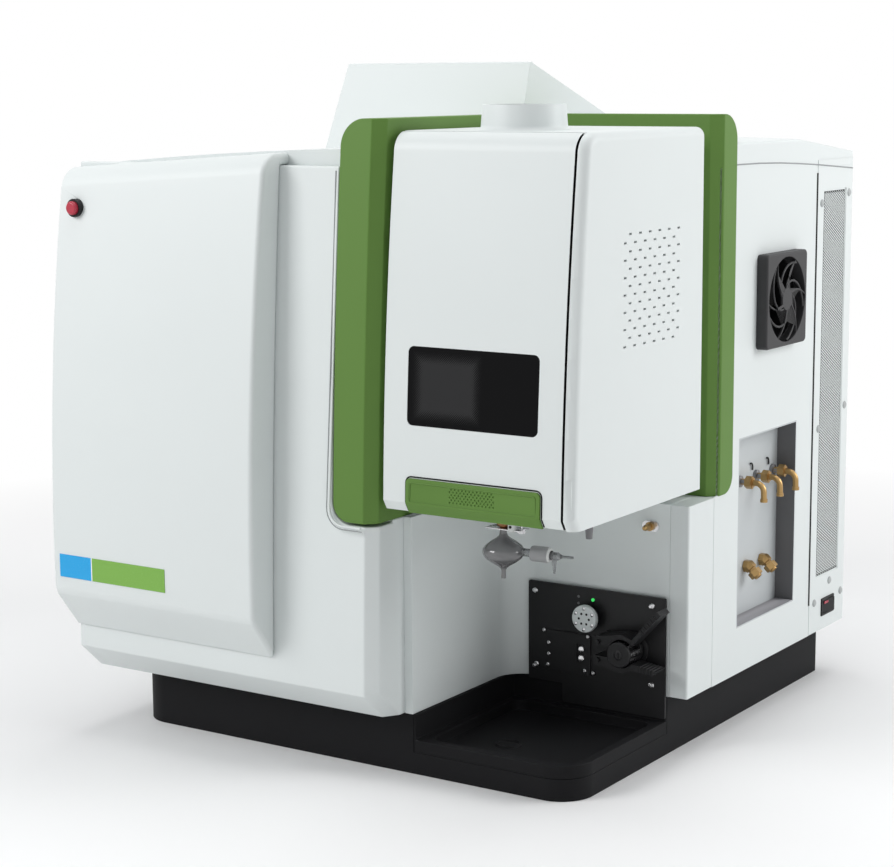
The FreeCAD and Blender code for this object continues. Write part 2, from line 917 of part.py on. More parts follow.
def hinge_knuckles():
    """Eyes on the hinge axis, each with an arm back to the compartment's left wall."""
    arm_depth = "door_depth + door_gap + hinge_swing + torch_wall - hinge_depth"
    shapes = []
    for level in ("hinge_low", "hinge_high"):
        x, y, z = hinge_spot(level)
        shapes.append(rod("knuckle_radius", "knuckle_height", (x, y, z), hinge_line()))
        shapes.append(box(("2 * knuckle_radius", arm_depth, "knuckle_height"),
                          (f"{x} - knuckle_radius", y, z)))
    return shapes


def knuckle_rooms():
    """Notches in the door's left edge, in which it turns about the knuckles."""
    shapes = []
    for level in ("hinge_low", "hinge_high"):
        x, y, z = hinge_spot(level)
        shapes.append(box(("hinge_inset + knuckle_radius + 2 * knuckle_room",
                           "door_depth + door_gap + knuckle_room + knuckle_radius",
                           "knuckle_height + 2 * knuckle_room"),
                          (across("torch_left + knuckle_room"), f"{y} - knuckle_radius - 2",
                           f"{z} - knuckle_room")))
    return shapes


def slot_field(body):
    """Two staggered sets of vent slots through the compartment's right wall."""
    for shift in (0, 1):
        low = f"slot_low + {shift} * slot_row_pitch"
        front = back(f"slot_front + {shift} * slot_column_pitch / 2")
        pocket(body, "YZ", rectangle(front, low, f"{front} + slot_width", f"{low} + slot_height"),
               "side_plane - torch_wall - 1", "torch_wall + 2")
        first = body.Tip
        sketch = first.Profile[0]
        field = body.newObject("PartDesign::MultiTransform", "SlotField")
        rows = doc.addObject("PartDesign::LinearPattern", "Rows")
        columns = doc.addObject("PartDesign::LinearPattern", "Columns")
        for pattern, way, gap, count in (
                (rows, "V_Axis", "2 * slot_row_pitch", "slot_rows / 2"),
                (columns, "H_Axis", "slot_column_pitch", "slot_columns")):
            pattern.Direction = (sketch, [way])
            bind(pattern, {"Occurrences": count, "Length": f"({count} - 1) * {gap}"})
        field.Originals = [first]
        field.Transformations = [rows, columns]
        body.Tip = field
        doc.recompute()
    return body


def make_torch_housing():
    """Box round the plasma torch: open at the front for its door, with slots in its side."""
    points, bows = torch_section("0")
    body = pad("YZ", points, "side_plane + torch_left - right_face", across("torch_left"), bows)
    edge = value("side_plane")

    def front_edge(one, two):
        return (abs(one.x - edge) < 0.1 and abs(two.x - edge) < 0.1 and abs(one.z - two.z) > 12
                and max(one.y, two.y) < value("front_face") + 10)
    soften(body, front_edge, "torch_edge_round")
    points, bows = torch_section("torch_wall")
    pocket(body, "YZ", points, across("torch_left - torch_wall"),
           "side_plane - right_face + torch_left - 2 * torch_wall", bows)
    slot_field(body)
    mouth = door_wedge("door_gap", across("torch_left"), "door_line + door_gap")
    swing = door_wedge("door_gap", across("torch_left"), across("torch_left - torch_wall"),
                       "hinge_swing")
    neck = box(("torch_left + 0 - 2 * neck_inset", "notch_depth - torch_rear",
                "torch_top - torch_foot - 2 * neck_inset"),
               (across("torch_left - neck_inset"), back("torch_rear"), "torch_foot + neck_inset"))
    duct = rod("collar_radius - collar_wall", "3 * torch_wall",
               (across("collar_across"), back("collar_back"), "torch_top - 2 * torch_wall"))
    inlet = rod("neck_radius + seat_gap", "3 * torch_wall",
                (across("torch_across"), back("torch_back"), "torch_foot - torch_wall"))
    shell = fuse(cut(body, mouth, swing), neck, *hinge_knuckles())
    return keep(cut(shell, duct, inlet, *hinge_rods("hinge_pin_radius")), "torch_housing")


def make_door():
    """Moulded door of the torch compartment, hollow behind, with its window and handle."""
    left, right = across("torch_left"), "door_line"
    points, bows = torch_section("0")
    slab = pad("YZ", points, f"{right} - ({left})", left, bows)
    leaf = common(slab, door_wedge("0", left, right))
    points, bows = torch_section("door_skin")
    hollow = pad("YZ", points, f"{right} - ({left}) - door_stile - door_skin",
                 f"{left} + door_stile", bows)
    foot = box(("2 * torch_left", "torch_rear", "door_foot + door_skin"),
               (across("1.5 * torch_left"), ahead("torch_belly_reach"), "0"))
    points, bows = rounded(across("window_left"), "window_low", across("window_right"),
                           "window_high", "window_round")
    window = pad("XZ", points, "torch_belly_reach + door_depth",
                 ahead("torch_belly_reach + door_depth"), bows)
    pins = hinge_rods("hinge_pin_radius + run_gap", "(hinge_pin_reach + seat_gap)")
    skin = cut(leaf, cut(hollow, foot))
    keep(cut(skin, window, *knuckle_rooms(), *pins), "torch_door")
    pane = common(common(slab, window), cut(slab, hollow))
    keep(pane, "door_window")
    points, bows = rounded(across("handle_left"), "handle_low", across("handle_right"),
                           "handle_top", "handle_round")
    pad_room = pad("XZ", points, "torch_belly_reach + door_depth",
                   ahead("torch_belly_reach + door_depth"), bows)
    points, bows = torch_section("-handle_proud")
    proud = pad("YZ", points, f"{right} - ({left})", left, bows)
    handle = cut(common(proud, pad_room), slab)
    points, bows = rounded(across("handle_left - handle_rim"), "torch_belly + 2",
                           across("handle_right + handle_rim"), "handle_top - handle_rim",
                           "handle_round / 2")
    field = pad("XZ", points, "door_depth",
                ahead("torch_belly_reach + handle_proud - handle_recess + door_depth"), bows)
    keep(cut(handle, field), "door_handle")
    keep(group(*hinge_rods("hinge_pin_radius")), "door_hinge_pins")


def make_collar():
    """Flared collar of the exhaust on the roof of the torch compartment."""
    bore = "collar_radius - collar_wall - 1"
    points = [
        (bore, "0"),
        ("collar_radius + collar_flare - 1", "0"),
        ("collar_radius + 1", "collar_flare"),
        ("collar_radius - 1", "collar_rise"),
        (bore, "collar_rise"),
    ]
    foot = (across("collar_across"), back("collar_back"), "torch_top")
    keep(turned(points, foot, bows={1: "-1"}), "exhaust_collar")
    throat = "torch_top - torch_wall - chimney_level"
    points = [
        ("chimney_radius - 2", "0"),
        ("chimney_radius", "0"),
        ("collar_radius + 1", throat),
        ("collar_radius - 1", throat),
    ]
    foot = (foot[0], foot[1], "chimney_level")
    keep(turned(points, foot), "exhaust_chimney")


def make_torch():
    """Torch mount, quartz tube and the two flat induction plates that stand off the rear wall."""
    x, y = across("torch_across"), back("torch_back")
    floor = "torch_foot + torch_wall"
    rise = f"tube_foot - ({floor})"
    mount = turned([
        ("neck_radius + seat_gap", "0"),
        ("mount_radius + mount_flange", "0"),
        ("mount_radius + mount_flange", "mount_flange"),
        ("mount_radius - 4", "mount_flange"),
        ("tube_radius + 5", rise),
        ("tube_radius", rise),
        ("tube_radius", f"{rise} - 12"),
        ("neck_radius + seat_gap", f"{rise} - 12"),
    ], (x, y, floor), bows={3: "-5"})
    keep(mount, "torch_mount")
    tube = turned([
        ("tube_radius - tube_wall", "0"),
        ("tube_radius", "0"),
        ("tube_radius", "tube_top - tube_foot + 12"),
        ("tube_radius - tube_wall", "tube_top - tube_foot + 12"),
    ], (x, y, "tube_foot - 12"))
    keep(tube, "quartz_torch")
    plates = []
    for level in ("coil_level", "coil_level + coil_gap"):
        tongue = box(("coil_radius * 1.2", "torch_rear - torch_wall - torch_back", "coil_skin"),
                     (f"{x} - coil_radius * 0.6", y, level))
        disc = rod("coil_radius", "coil_skin", (x, y, level))
        hole = rod("coil_bore", "coil_skin", (x, y, level))
        slit = box(("coil_slit", "coil_radius", "coil_skin"),
                   (f"{x} - coil_slit / 2", f"{y} - coil_radius", level))
        plates.append(cut(fuse(tongue, disc), hole, slit))
    keep(group(*plates), "induction_plates")


def make_side_panel(tools):
    """Sheet side of the enclosure between the frame and the vent panel."""
    sheet = box(("sheet", back("vent_split") + " - (liner_y + column_depth)",
                 "seam_height - base_height"),
                (side_sheet, "liner_y + column_depth", "base_height"))
    return keep(cut(sheet, *tools), "right_side_panel")


def make_recess():
    """Folded tray of the service recess, with its floor and three walls."""
    size = ("recess_depth", "recess_rear - recess_front", "recess_high - recess_low")
    tray = box(size, ("side_plane - recess_depth", back("recess_front"), "recess_low"))
    inner = box(("recess_depth", "recess_rear - recess_front - 2 * recess_skin",
                 "recess_high - recess_low - 2 * recess_skin"),
                ("side_plane - recess_depth + recess_skin", back("recess_front + recess_skin"),
                 "recess_low + recess_skin"))
    keep(cut(tray, inner), "service_recess")
    return tray


def make_fan():
    """Fan guard with curved arms round a hub, over a rotor that turns in a frame."""
    x, y, z = "side_plane", back("fan_middle"), "fan_level"
    half = "fan_size / 2"
    points, bows = rounded(f"{y} - {half}", f"{z} - {half}", f"{y} + {half}", f"{z} + {half}",
                           "fan_round")
    plate = pad("YZ", points, "fan_proud", x, bows)
    soften(plate, lambda one, two: one.x > value(x) + 1 and two.x > value(x) + 1, "fan_skin")
    inner, wide = rod("fan_bore", "fan_proud", (x, y, z), "x"), rod(
        "fan_bore", "fan_proud - fan_skin", (x, y, z), "x")
    hub = rod("fan_hub", "fan_ring", (f"{x} + fan_proud - fan_ring", y, z), "x")
    arms = []
    reach, root = value("fan_bore") + 1, value("fan_hub") - 2
    for number in range(SIZES["fan_blades"]):
        turn = FreeCAD.Rotation(V(1, 0, 0), number * 360 / SIZES["fan_blades"])
        arm = pad("YZ", [
            ("-fan_ring / 2", "0"), ("fan_ring / 2", "0"),
            ("fan_bore * 0.5 + fan_ring / 2", "fan_bore * 0.9"),
            ("fan_bore * 0.5 - fan_ring / 2", "fan_bore * 0.9"),
        ], "fan_ring", "0", {1: "-fan_bore * 0.18", 3: "fan_bore * 0.18"})
        arm.Placement = FreeCAD.Placement(V(), turn)
        arms.append(at(arm, (f"{x} + fan_proud - fan_ring", y, z)))
    guard = fuse(cut(plate, inner), hub, *arms)
    keep(guard, "fan_guard")
    depth = "fan_well"
    well = rod("fan_bore + 1", f"{depth}", (f"{x} - {depth}", y, z), "x")
    drum = rod("fan_bore", f"{depth}", (f"{x} - {depth}", y, z), "x")
    room = rod("fan_bore - 2", f"{depth} - 2", (f"{x} - {depth} + 2", y, z), "x")
    pin = rod("shaft_radius", "rotor_depth - fan_ring", (f"{x} - {depth} + 2", y, z), "x")
    keep(fuse(cut(drum, room), pin), "fan_frame")
    rotor_foot = f"{x} - {depth} + 2 + seat_gap"
    cup = turned([
        ("shaft_radius + run_gap", "0"),
        ("rotor_hub", "0"),
        ("rotor_hub", "rotor_depth"),
        ("0", "rotor_depth"),
        ("0", "rotor_depth - fan_ring"),
        ("shaft_radius + run_gap", "rotor_depth - fan_ring"),
    ], (rotor_foot, y, z), "x")
    blades = [cup]
    for number in range(SIZES["rotor_blades"]):
        turn = (FreeCAD.Rotation(V(1, 0, 0), number * 360 / SIZES["rotor_blades"])
                * FreeCAD.Rotation(V(0, 0, 1), 35))
        blade = pad("XY", [
            ("-rotor_depth * 0.45", "-1"), ("rotor_depth * 0.45", "-1"),
            ("rotor_depth * 0.45", "1"), ("-rotor_depth * 0.45", "1"),
        ], "fan_bore - 4 - rotor_hub + 2", "rotor_hub - 2", {0: "-2", 2: "2"})
        blade.Placement = FreeCAD.Placement(V(), turn)
        blades.append(at(blade, (f"{rotor_foot} + rotor_depth / 2", y, z)))
    keep(fuse(*blades), "fan_rotor")
    return drum


def make_chamber():
    """Glass spray chamber on its ball joint, with its side arm, nebuliser and clamp."""
    x, y, z = across("torch_across"), back("torch_back"), "chamber_level"
    glass = "chamber_glass"
    low = f"{z} - chamber_rise - drain_tip"
    high = f"{z} + chamber_rise - drain_tip"
    top = "torch_foot + torch_wall + mount_flange - drain_tip"
    body = turned([
        ("0", "0"),
        ("drain_tube", "0"),
        ("drain_tube", f"{low} - 2"),
        ("chamber_waist", low),
        ("chamber_radius", f"{z} - drain_tip - 3"),
        ("chamber_radius", f"{z} - drain_tip + 3"),
        ("neck_radius", high),
        ("neck_radius", top),
        (f"neck_radius - {glass}", top),
        (f"neck_radius - {glass}", high),
        (f"chamber_radius - {glass}", f"{z} - drain_tip + 3"),
        (f"chamber_radius - {glass}", f"{z} - drain_tip - 3"),
        ("0", f"{low} + {glass}"),
    ], (x, y, "drain_tip"))
    way = V(math.cos(math.radians(SIZES["arm_angle"])), math.sin(math.radians(SIZES["arm_angle"])), 0)
    lean = ("cos(arm_angle * 1deg)", "sin(arm_angle * 1deg)")

    def spot(distance):
        return (f"{x} + ({distance}) * {lean[0]}", f"{y} + ({distance}) * {lean[1]}", z)
    arm_start = "chamber_radius - 6"
    arm = rod("sleeve_radius - 3", "arm_length - chamber_radius + 6", spot(arm_start), way)
    keep(fuse(body, arm), "spray_chamber")
    sleeve_foot = "arm_length"
    sleeve = turned([
        ("0", "0"),
        ("sleeve_radius - 2", "0"),
        ("sleeve_radius", "sleeve_length - ring_length"),
        ("sleeve_radius + 1.5", "sleeve_length - ring_length"),
        ("sleeve_radius + 1.5", "sleeve_length"),
        ("0", "sleeve_length"),
    ], spot(sleeve_foot), way)
    keep(sleeve, "chamber_sleeve")
    neb_foot = f"{sleeve_foot} + sleeve_length"
    nebuliser = turned([
        ("0", "0"),
        ("spray_radius", "0"),
        ("spray_radius", "spray_length - 6"),
        ("needle_radius", "spray_length"),
        ("needle_radius", "spray_length + needle_length"),
        ("0", "spray_length + needle_length"),
    ], spot(neb_foot), way)
    drop_place = spot(f"{neb_foot} + spray_length / 2")
    drop = cone("needle_radius", "spray_radius - 1", "spray_length",
                (drop_place[0], drop_place[1], f"{z} - spray_length"))
    keep(fuse(nebuliser, drop), "nebuliser")


def make_clamp():
    """Ball-joint clamp: a forked steel plate under the box, held by a knurled screw."""
    x, y = across("torch_across"), back("torch_back")
    plate = box(("clamp_length", "clamp_width", "clamp_plate"),
                (f"{x} - clamp_length * 0.32", f"{y} - clamp_width / 2", "clamp_level"))
    mouth = rod("neck_radius + seat_gap", "clamp_plate", (x, y, "clamp_level"))
    upper = box(("clamp_length * 0.7", "clamp_width", "clamp_plate"),
                (f"{x} - clamp_length * 0.25", f"{y} - clamp_width / 2",
                 "torch_foot - clamp_plate"))
    upper_mouth = rod("neck_radius + seat_gap", "clamp_plate", (x, y, "torch_foot - clamp_plate"))
    post_spot = (f"{x} + clamp_length * 0.54", y)
    block = box(("10", "clamp_width * 0.6", "torch_foot - clamp_level - 2 * clamp_plate"),
                (f"{x} + neck_radius + 3", f"{y} - clamp_width * 0.3", "clamp_level + clamp_plate"))
    keep(cut(fuse(plate, upper, block), mouth, upper_mouth), "ball_joint_clamp")
    knob = turned([
        ("0", "0"), ("5", "0"), ("5", "7"), ("2.5", "7"),
        ("2.5", "torch_foot - clamp_level - clamp_plate"),
        ("0", "torch_foot - clamp_level - clamp_plate"),
    ], (post_spot[0], post_spot[1], "clamp_level + clamp_plate"))
    keep(knob, "clamp_screw")
    peg = cone("peg_radius * 0.8", "peg_radius", "peg_length",
               (across("peg_across + 0"), back("peg_back"), "torch_foot - peg_length"))
    keep(peg, "drain_peg")


def make_side_port():
    """Brass gas port on its oblong steel plate in the compartment's rear wall."""
    x, z = across("port_across"), "port_level"
    points, bows = rounded(f"{x} - port_plate / 2", f"{z} - port_plate_height / 2",
                           f"{x} + port_plate / 2", f"{z} + port_plate_height / 2",
                           "port_plate_height / 2 - 0.5")
    keep(pad("XZ", points, "sheet", "liner_y - sheet", bows), "side_port_plate")
    port = turned([
        ("0", "0"), ("port_radius + 2", "0"), ("port_radius + 2", "4"),
        ("port_radius", "4"), ("port_radius", "port_length - 5"),
        ("port_radius - 1.5", "port_length"), ("0", "port_length"),
    ], (x, "liner_y - sheet", z), "-y")
    keep(port, "side_port")


def make_module(liner):
    """Front panel of the sample module, stepped round the tray, with its lamps and screws."""
    left, right = across("module_left"), across("module_right")
    plate = pad("XZ", [
        (left, "module_step"),
        (across("module_notch"), "module_step"),
        (across("module_notch"), "module_foot"),
        (right, "module_foot"),
        (right, "module_top"),
        (left, "module_top"),
    ], "module_skin", "panel_y")
    backing = pad("XZ", rectangle(f"{left} + module_skin", "base_height",
                                  f"{right} - module_skin", "module_top - module_skin"),
                  "liner_y - panel_y - module_skin", "panel_y + module_skin")
    keep(cut(fuse(plate, backing), liner), "module_panel")
    screws = []
    for column in (f"{left} + screw_inset", f"{right} - 2 * screw_inset - 4"):
        for level in ("module_top - 13", "module_top - 118"):
            screws.append(turned([
                ("0", "0"), ("module_screw", "0"), ("module_screw", "1"),
                ("module_screw * 0.6", "2"), ("0", "2"),
            ], (column, "panel_y", level), "-y"))
    keep(group(*screws), "module_screws")
    lamps = [rod("lamp_radius", "1.5", (across("lamp_across"), "panel_y", "lamp_level"), "-y")]
    for column, level in (("lamp_across + 22", "lamp_level + 2"), ("lamp_across + 22", "lamp_level - 7")):
        lamps.append(rod("lamp_radius * 0.8", "1", (across(column), "panel_y", level), "-y"))
    keep(group(*lamps), "status_lamps")
    points, bows = rounded(across("subplate_left"), "subplate_low", across("subplate_right"),
                           "subplate_high", "3")
    plate = pad("XZ", points, "sheet", "panel_y - sheet", bows)
    slot = box(("9", "sheet", "24"), (across("subplate_right + 21"), "panel_y - sheet", "subplate_low + 18"))
    keep(cut(plate, slot), "module_sub_plate")


def make_valve():
    """Rotary valve head: a pale disc with screws and ports on a black collar."""
    x, z = across("valve_across"), "valve_level"
    keep(rod("valve_collar", "valve_depth - 6", (x, "panel_y", z), "-y"), "valve_collar")
    disc = turned([
        ("0", "0"), ("valve_radius - 1", "0"), ("valve_radius", "1"), ("valve_radius", "5"),
        ("valve_radius - 1", "6"), ("0", "6"),
    ], (x, "panel_y - valve_depth + 6", z), "-y")
    keep(disc, "valve_head")
    ports = []
    for number in range(SIZES["port_count"]):
        turn = math.radians(30 + number * 360 / SIZES["port_count"])
        ports.append(turned([
            ("0", "0"), ("fitting_radius", "0"), ("fitting_radius", "5"),
            ("fitting_radius - 1.2", "7"), ("0", "7"),
        ], (f"{x} + port_ring * {math.cos(turn):.5f}", "panel_y - valve_depth",
            f"{z} + port_ring * {math.sin(turn):.5f}"), "-y"))
    keep(group(*ports), "valve_fittings")


def make_pump():
    """Peristaltic pump: rollers between two discs, and two spring clamps that press on them."""
    x, z = "pump_x", "pump_level"
    flange = turned([
        ("0", "0"), ("pump_flange", "0"), ("pump_flange", "2"), ("pump_radius - 4", "4"),
        ("shaft_radius + 3", "4"), ("shaft_radius + 3", "6"),
        ("shaft_radius", "6"), ("shaft_radius", "pump_length - disc_skin"),
        ("0", "pump_length - disc_skin"),
    ], (x, "panel_y", z), "-y")
    pivot_x = across("clamp_pivot_across")
    pivots = [rod("pivot_radius", "pump_length - 4", (pivot_x, "panel_y", level), "-y")
              for level in (f"{z} + clamp_pivot_rise", f"{z} - clamp_pivot_rise")]
    base = box(("clamp_pivot_across - pump_across", "4", "2 * clamp_pivot_rise + 14"),
               (f"{pivot_x} - 6", "panel_y - 4", f"{z} - clamp_pivot_rise - 7"))
    keep(fuse(flange, base, *pivots), "pump_body")
    foot = "panel_y - 6 - seat_gap"
    length = "pump_length - 6"
    discs = turned([
        ("shaft_radius + run_gap", "0"),
        ("pump_radius", "0"),
        ("pump_radius", "disc_skin"),
        ("pump_radius - 9", "disc_skin"),
        ("pump_radius - 9", f"{length} - disc_skin"),
        ("pump_radius", f"{length} - disc_skin"),
        ("pump_radius", f"{length} - 1"),
        ("pump_radius - 1", length),
        ("0", length),
        ("0", "pump_length - disc_skin - 6"),
        ("shaft_radius + run_gap", "pump_length - disc_skin - 6"),
    ], (x, foot, z), "-y")
    keep(discs, "pump_rotor")
    rollers = []
    for number in range(SIZES["roller_count"]):
        turn = math.radians(number * 360 / SIZES["roller_count"])
        ring = "(pump_radius - roller_radius - 1)"
        rollers.append(rod("roller_radius", f"{length} - 2 * disc_skin",
                           (f"{x} + {ring} * {math.cos(turn):.5f}", f"{foot} - disc_skin",
                            f"{z} + {ring} * {math.sin(turn):.5f}"), "-y"))
    keep(group(*rollers), "pump_rollers")
    inner = "(pump_radius + shoe_gap)"
    outer = f"({inner} + shoe_skin)"
    lever_reach = {"upper_clamp": ("38", "32"), "lower_clamp": ("32", "4")}
    for name, sign in (("upper_clamp", ""), ("lower_clamp", "-")):
        along_x, up = lever_reach[name]
        level = f"{z} + {sign}clamp_pivot_rise"
        tip_z = f"{z} + {sign}({outer} + {up})" if name == "upper_clamp" else f"{z} - ({inner} - 2)"
        points = [
            (f"{pivot_x} - 6", f"{z} + {sign}(clamp_pivot_rise - 5)"),
            (f"{x} - {inner} + 1", f"{z} + {sign}(clamp_pivot_rise - 5)"),
            (f"{x}", f"{z} + {sign}({inner})"),
            (f"{x} + {inner} * 0.8", f"{z} + {sign}({inner} * 0.6)"),
            (f"{x} + {inner} + {along_x}", tip_z),
            (f"{x} + {inner} + {along_x} - 5", f"{tip_z} + {sign}5"),
            (f"{x} + {inner} * 0.8", f"{z} + {sign}({inner} * 0.6 + shoe_skin + 2)"),
            (f"{x}", f"{z} + {sign}({outer})"),
            (f"{pivot_x} - 6", f"{z} + {sign}(clamp_pivot_rise + 6)"),
        ]
        shoe = pad("XZ", points if sign == "" else points[::-1], "shoe_width",
                   "panel_y - pump_length + 8")
        drum = rod(f"{inner}", "pump_length", (x, "panel_y", z), "-y")
        hole = rod("pivot_radius + run_gap", "pump_length", (pivot_x, "panel_y", level), "-y")
        keep(cut(shoe, drum, hole), name)


def make_gas_fittings():
    """Row of hexagon bulkheads with elbows, and the two sloping water fittings below."""
    wall = "side_plane - recess_depth + recess_skin"
    bulkheads, elbows = [], []
    for number in range(3):
        y = back(f"gas_back + {number} * gas_pitch")
        seat = turned([
            ("0", "0"), ("nut_radius - 1", "0"), ("nut_radius - 1", "4"),
            ("elbow_radius", "5"), ("elbow_radius", "12"), ("0", "12"),
        ], (wall, y, "gas_level"), "x")
        nut = hexagon("nut_radius", "9", (f"{wall} + 12", y, "gas_level"), "x")
        bulkheads.append(fuse(seat, nut))
        start = f"{wall} + 21"
        run = rod("elbow_radius", "elbow_run", (start, y, "gas_level"), "x")
        ball = doc.addObject("Part::Sphere", "Bend")
        bind(ball, {"Radius": "elbow_radius + 0.5"})
        at(ball, (f"{start} + elbow_run", y, "gas_level"))
        drop = cone("elbow_radius - 1.5", "elbow_radius", "elbow_drop",
                    (f"{start} + elbow_run", y, "gas_level - elbow_drop"))
        elbows.append(fuse(run, ball, drop))
    keep(group(*bulkheads), "gas_bulkheads")
    keep(group(*elbows), "gas_elbows")
    slope = V(1, 0, -1)
    for number in range(2):
        y = back(f"water_back + {number} * water_pitch")
        seat = rod("nut_radius", "6", (wall, y, "water_level"), "x")
        body = turned([
            ("0", "0"), ("elbow_radius", "0"), ("elbow_radius", "8"),
            ("nut_radius - 1", "10"), ("nut_radius - 1", "20"),
            ("elbow_radius", "22"), ("elbow_radius - 1", "water_length - 6"), ("0", "water_length - 6"),
        ], (f"{wall} + 4", y, "water_level"), slope)
        keep(fuse(seat, body), f"water_fitting_{number + 1}")


def make_vent_panel():
    """Rear side panel with a mesh window, its screws and the power rocker."""
    front, rear = back("vent_split + vent_gap / 2"), "rear_plane"
    sheet = box(("sheet", f"{rear} - ({front})", "seam_height - base_height - 10"),
                (side_sheet, front, "base_height"))
    window = box(("sheet", "mesh_rear - mesh_front", "mesh_high - mesh_low"),
                 (side_sheet, back("mesh_front"), "mesh_low"))
    mesh = box(("sheet / 2", "mesh_rear - mesh_front", "mesh_high - mesh_low"),
               (side_sheet, back("mesh_front"), "mesh_low"))
    y, z = back("rocker_middle"), "rocker_level"
    bezel = box(("rocker_depth", "rocker_width", "rocker_height"),
                ("side_plane - rocker_depth + sheet", f"{y} - rocker_width / 2",
                 f"{z} - rocker_height / 2"))
    room = box(("rocker_depth", "rocker_width - 2 * rocker_rim", "rocker_height - 2 * rocker_rim"),
               ("side_plane - rocker_depth + sheet + rocker_rim",
                f"{y} - rocker_width / 2 + rocker_rim", f"{z} - rocker_height / 2 + rocker_rim"))
    keep(cut(sheet, window, bezel), "rear_vent_panel")
    keep(mesh, "vent_mesh")
    keep(cut(bezel, room), "power_rocker_bezel")
    half = "(rocker_width / 2 - rocker_rim - rocker_play)"
    rocker = pad("XY", [
        (f"side_plane - 6", f"{y} - {half}"),
        (f"side_plane - 1", f"{y} - {half}"),
        (f"side_plane + 2", f"{y}"),
        (f"side_plane + 5", f"{y} + {half}"),
        (f"side_plane - 3", f"{y} + {half}"),
        (f"side_plane - 6", f"{y}"),
    ], "rocker_height - 2 * rocker_rim - 2 * seat_gap",
        f"{z} - rocker_height / 2 + rocker_rim + seat_gap")
    pin = rod("pivot_radius / 2", "rocker_height - 2 * rocker_rim",
              (f"side_plane - 4", y, f"{z} - rocker_height / 2 + rocker_rim"))
    hole = rod("pivot_radius / 2 + run_gap", "rocker_height", (f"side_plane - 4", y,
                                                              f"{z} - rocker_height / 2"))
    keep(cut(rocker, hole), "power_rocker")
    keep(pin, "rocker_pin")
    screws = []
    for y, z in ((643.5, 704), (739, 715), (647, 381), (740, 404), (699, 148), (741, 124), (646, 124)):
        screws.append(turned([
            ("0", "0"), ("screw_radius", "0"), ("screw_radius", "0.8"),
            ("screw_radius * 0.6", "2.2"), ("0", "2.2"),
        ], ("side_plane", back(str(y)), str(z)), "x"))
    keep(group(*screws), "panel_screws")
    return bezel


def make_rear():
    """Plain rear sheet with the mains inlet."""
    sheet = box(("side_plane - left_plane - sheet", "sheet", "seam_height - base_height"),
                ("left_plane", "rear_plane - sheet", "base_height"))
    x, z = across("inlet_across"), "inlet_level"
    points, bows = rounded(f"{x} - inlet_width / 2", f"{z} - inlet_height / 2",
                           f"{x} + inlet_width / 2", f"{z} + inlet_height / 2", "3")
    shell = pad("XZ", points, "3 * sheet", "rear_plane - sheet", bows)
    well = box(("inlet_width - 12", "3 * sheet", "inlet_height - 8"),
               (f"{x} - inlet_width / 2 + 6", "rear_plane", f"{z} - inlet_height / 2 + 4"))
    keep(cut(sheet, shell), "rear_panel")
    keep(cut(shell, well), "power_inlet")


make_plinth()
make_tray()
green_frame = make_frame()
left_housing = make_left_housing(green_frame)
liner = make_liner()
column = make_column()
cover = make_front_group(left_housing)
lid = keep(make_lid(green_frame, cover), "top_lid")
keep(make_hood(lid, green_frame), "rear_hood")
recess = make_recess()
fan_well = make_fan()
rocker_bezel = make_vent_panel()
make_rear()
make_right_housing(green_frame, column, recess, fan_well, rocker_bezel)
make_side_panel((green_frame, recess, fan_well))
make_torch_housing()
make_door()
make_collar()
make_torch()
make_chamber()
make_clamp()
make_side_port()
make_module(liner)
make_valve()
make_pump()
make_gas_fittings()


def write_parts():
    """Checks every object and each finished sub-part, then writes the sub-parts."""
    doc.recompute()
    for item in doc.Objects:
        if "Invalid" in item.State or "Error" in item.State:
            raise ValueError(f"{item.Label} could not be built: {item.State}")
    for item in nodes:
        if item.Shape.isNull() or not item.Shape.isValid() or not item.Shape.Solids:
            raise ValueError(f"{item.Label} has no sound shape")
    os.makedirs("parts", exist_ok=True)
    for item in nodes:
        item.Shape.exportStep(f"parts/{item.Label}.step")
        print(item.Label, len(item.Shape.Solids), item.Shape.BoundBox)


write_parts()
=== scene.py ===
import json
import math
from functools import partialmethod

import bmesh
import bpy
from bpy.props import FloatProperty, FloatVectorProperty, IntProperty, PointerProperty
from mathutils import Matrix, Vector
from mathutils.bvhtree import BVHTree

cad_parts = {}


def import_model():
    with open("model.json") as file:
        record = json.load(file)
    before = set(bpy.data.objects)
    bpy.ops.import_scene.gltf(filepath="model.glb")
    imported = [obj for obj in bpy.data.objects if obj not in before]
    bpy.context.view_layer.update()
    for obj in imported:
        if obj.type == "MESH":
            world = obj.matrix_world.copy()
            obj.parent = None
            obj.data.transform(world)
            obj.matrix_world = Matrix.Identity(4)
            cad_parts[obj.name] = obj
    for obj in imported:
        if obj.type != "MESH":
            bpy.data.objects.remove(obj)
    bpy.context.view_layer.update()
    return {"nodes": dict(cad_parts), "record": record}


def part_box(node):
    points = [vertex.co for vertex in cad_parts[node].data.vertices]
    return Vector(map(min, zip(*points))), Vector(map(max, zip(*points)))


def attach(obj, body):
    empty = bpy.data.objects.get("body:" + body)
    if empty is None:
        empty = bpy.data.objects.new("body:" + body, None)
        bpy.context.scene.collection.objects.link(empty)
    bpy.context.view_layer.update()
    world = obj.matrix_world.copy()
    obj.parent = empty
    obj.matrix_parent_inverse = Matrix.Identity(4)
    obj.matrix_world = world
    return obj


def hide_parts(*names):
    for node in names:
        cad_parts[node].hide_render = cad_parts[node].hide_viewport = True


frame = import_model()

bl_info = {
    "name": "Bench-Top Spectrometer",
    "version": (1, 0, 0),
    "blender": (4, 5, 0),
    "location": "View3D > Sidebar > Spectrometer",
    "description": "Finishes, fittings and studio for a bench-top plasma spectrometer",
    "category": "Object",
}

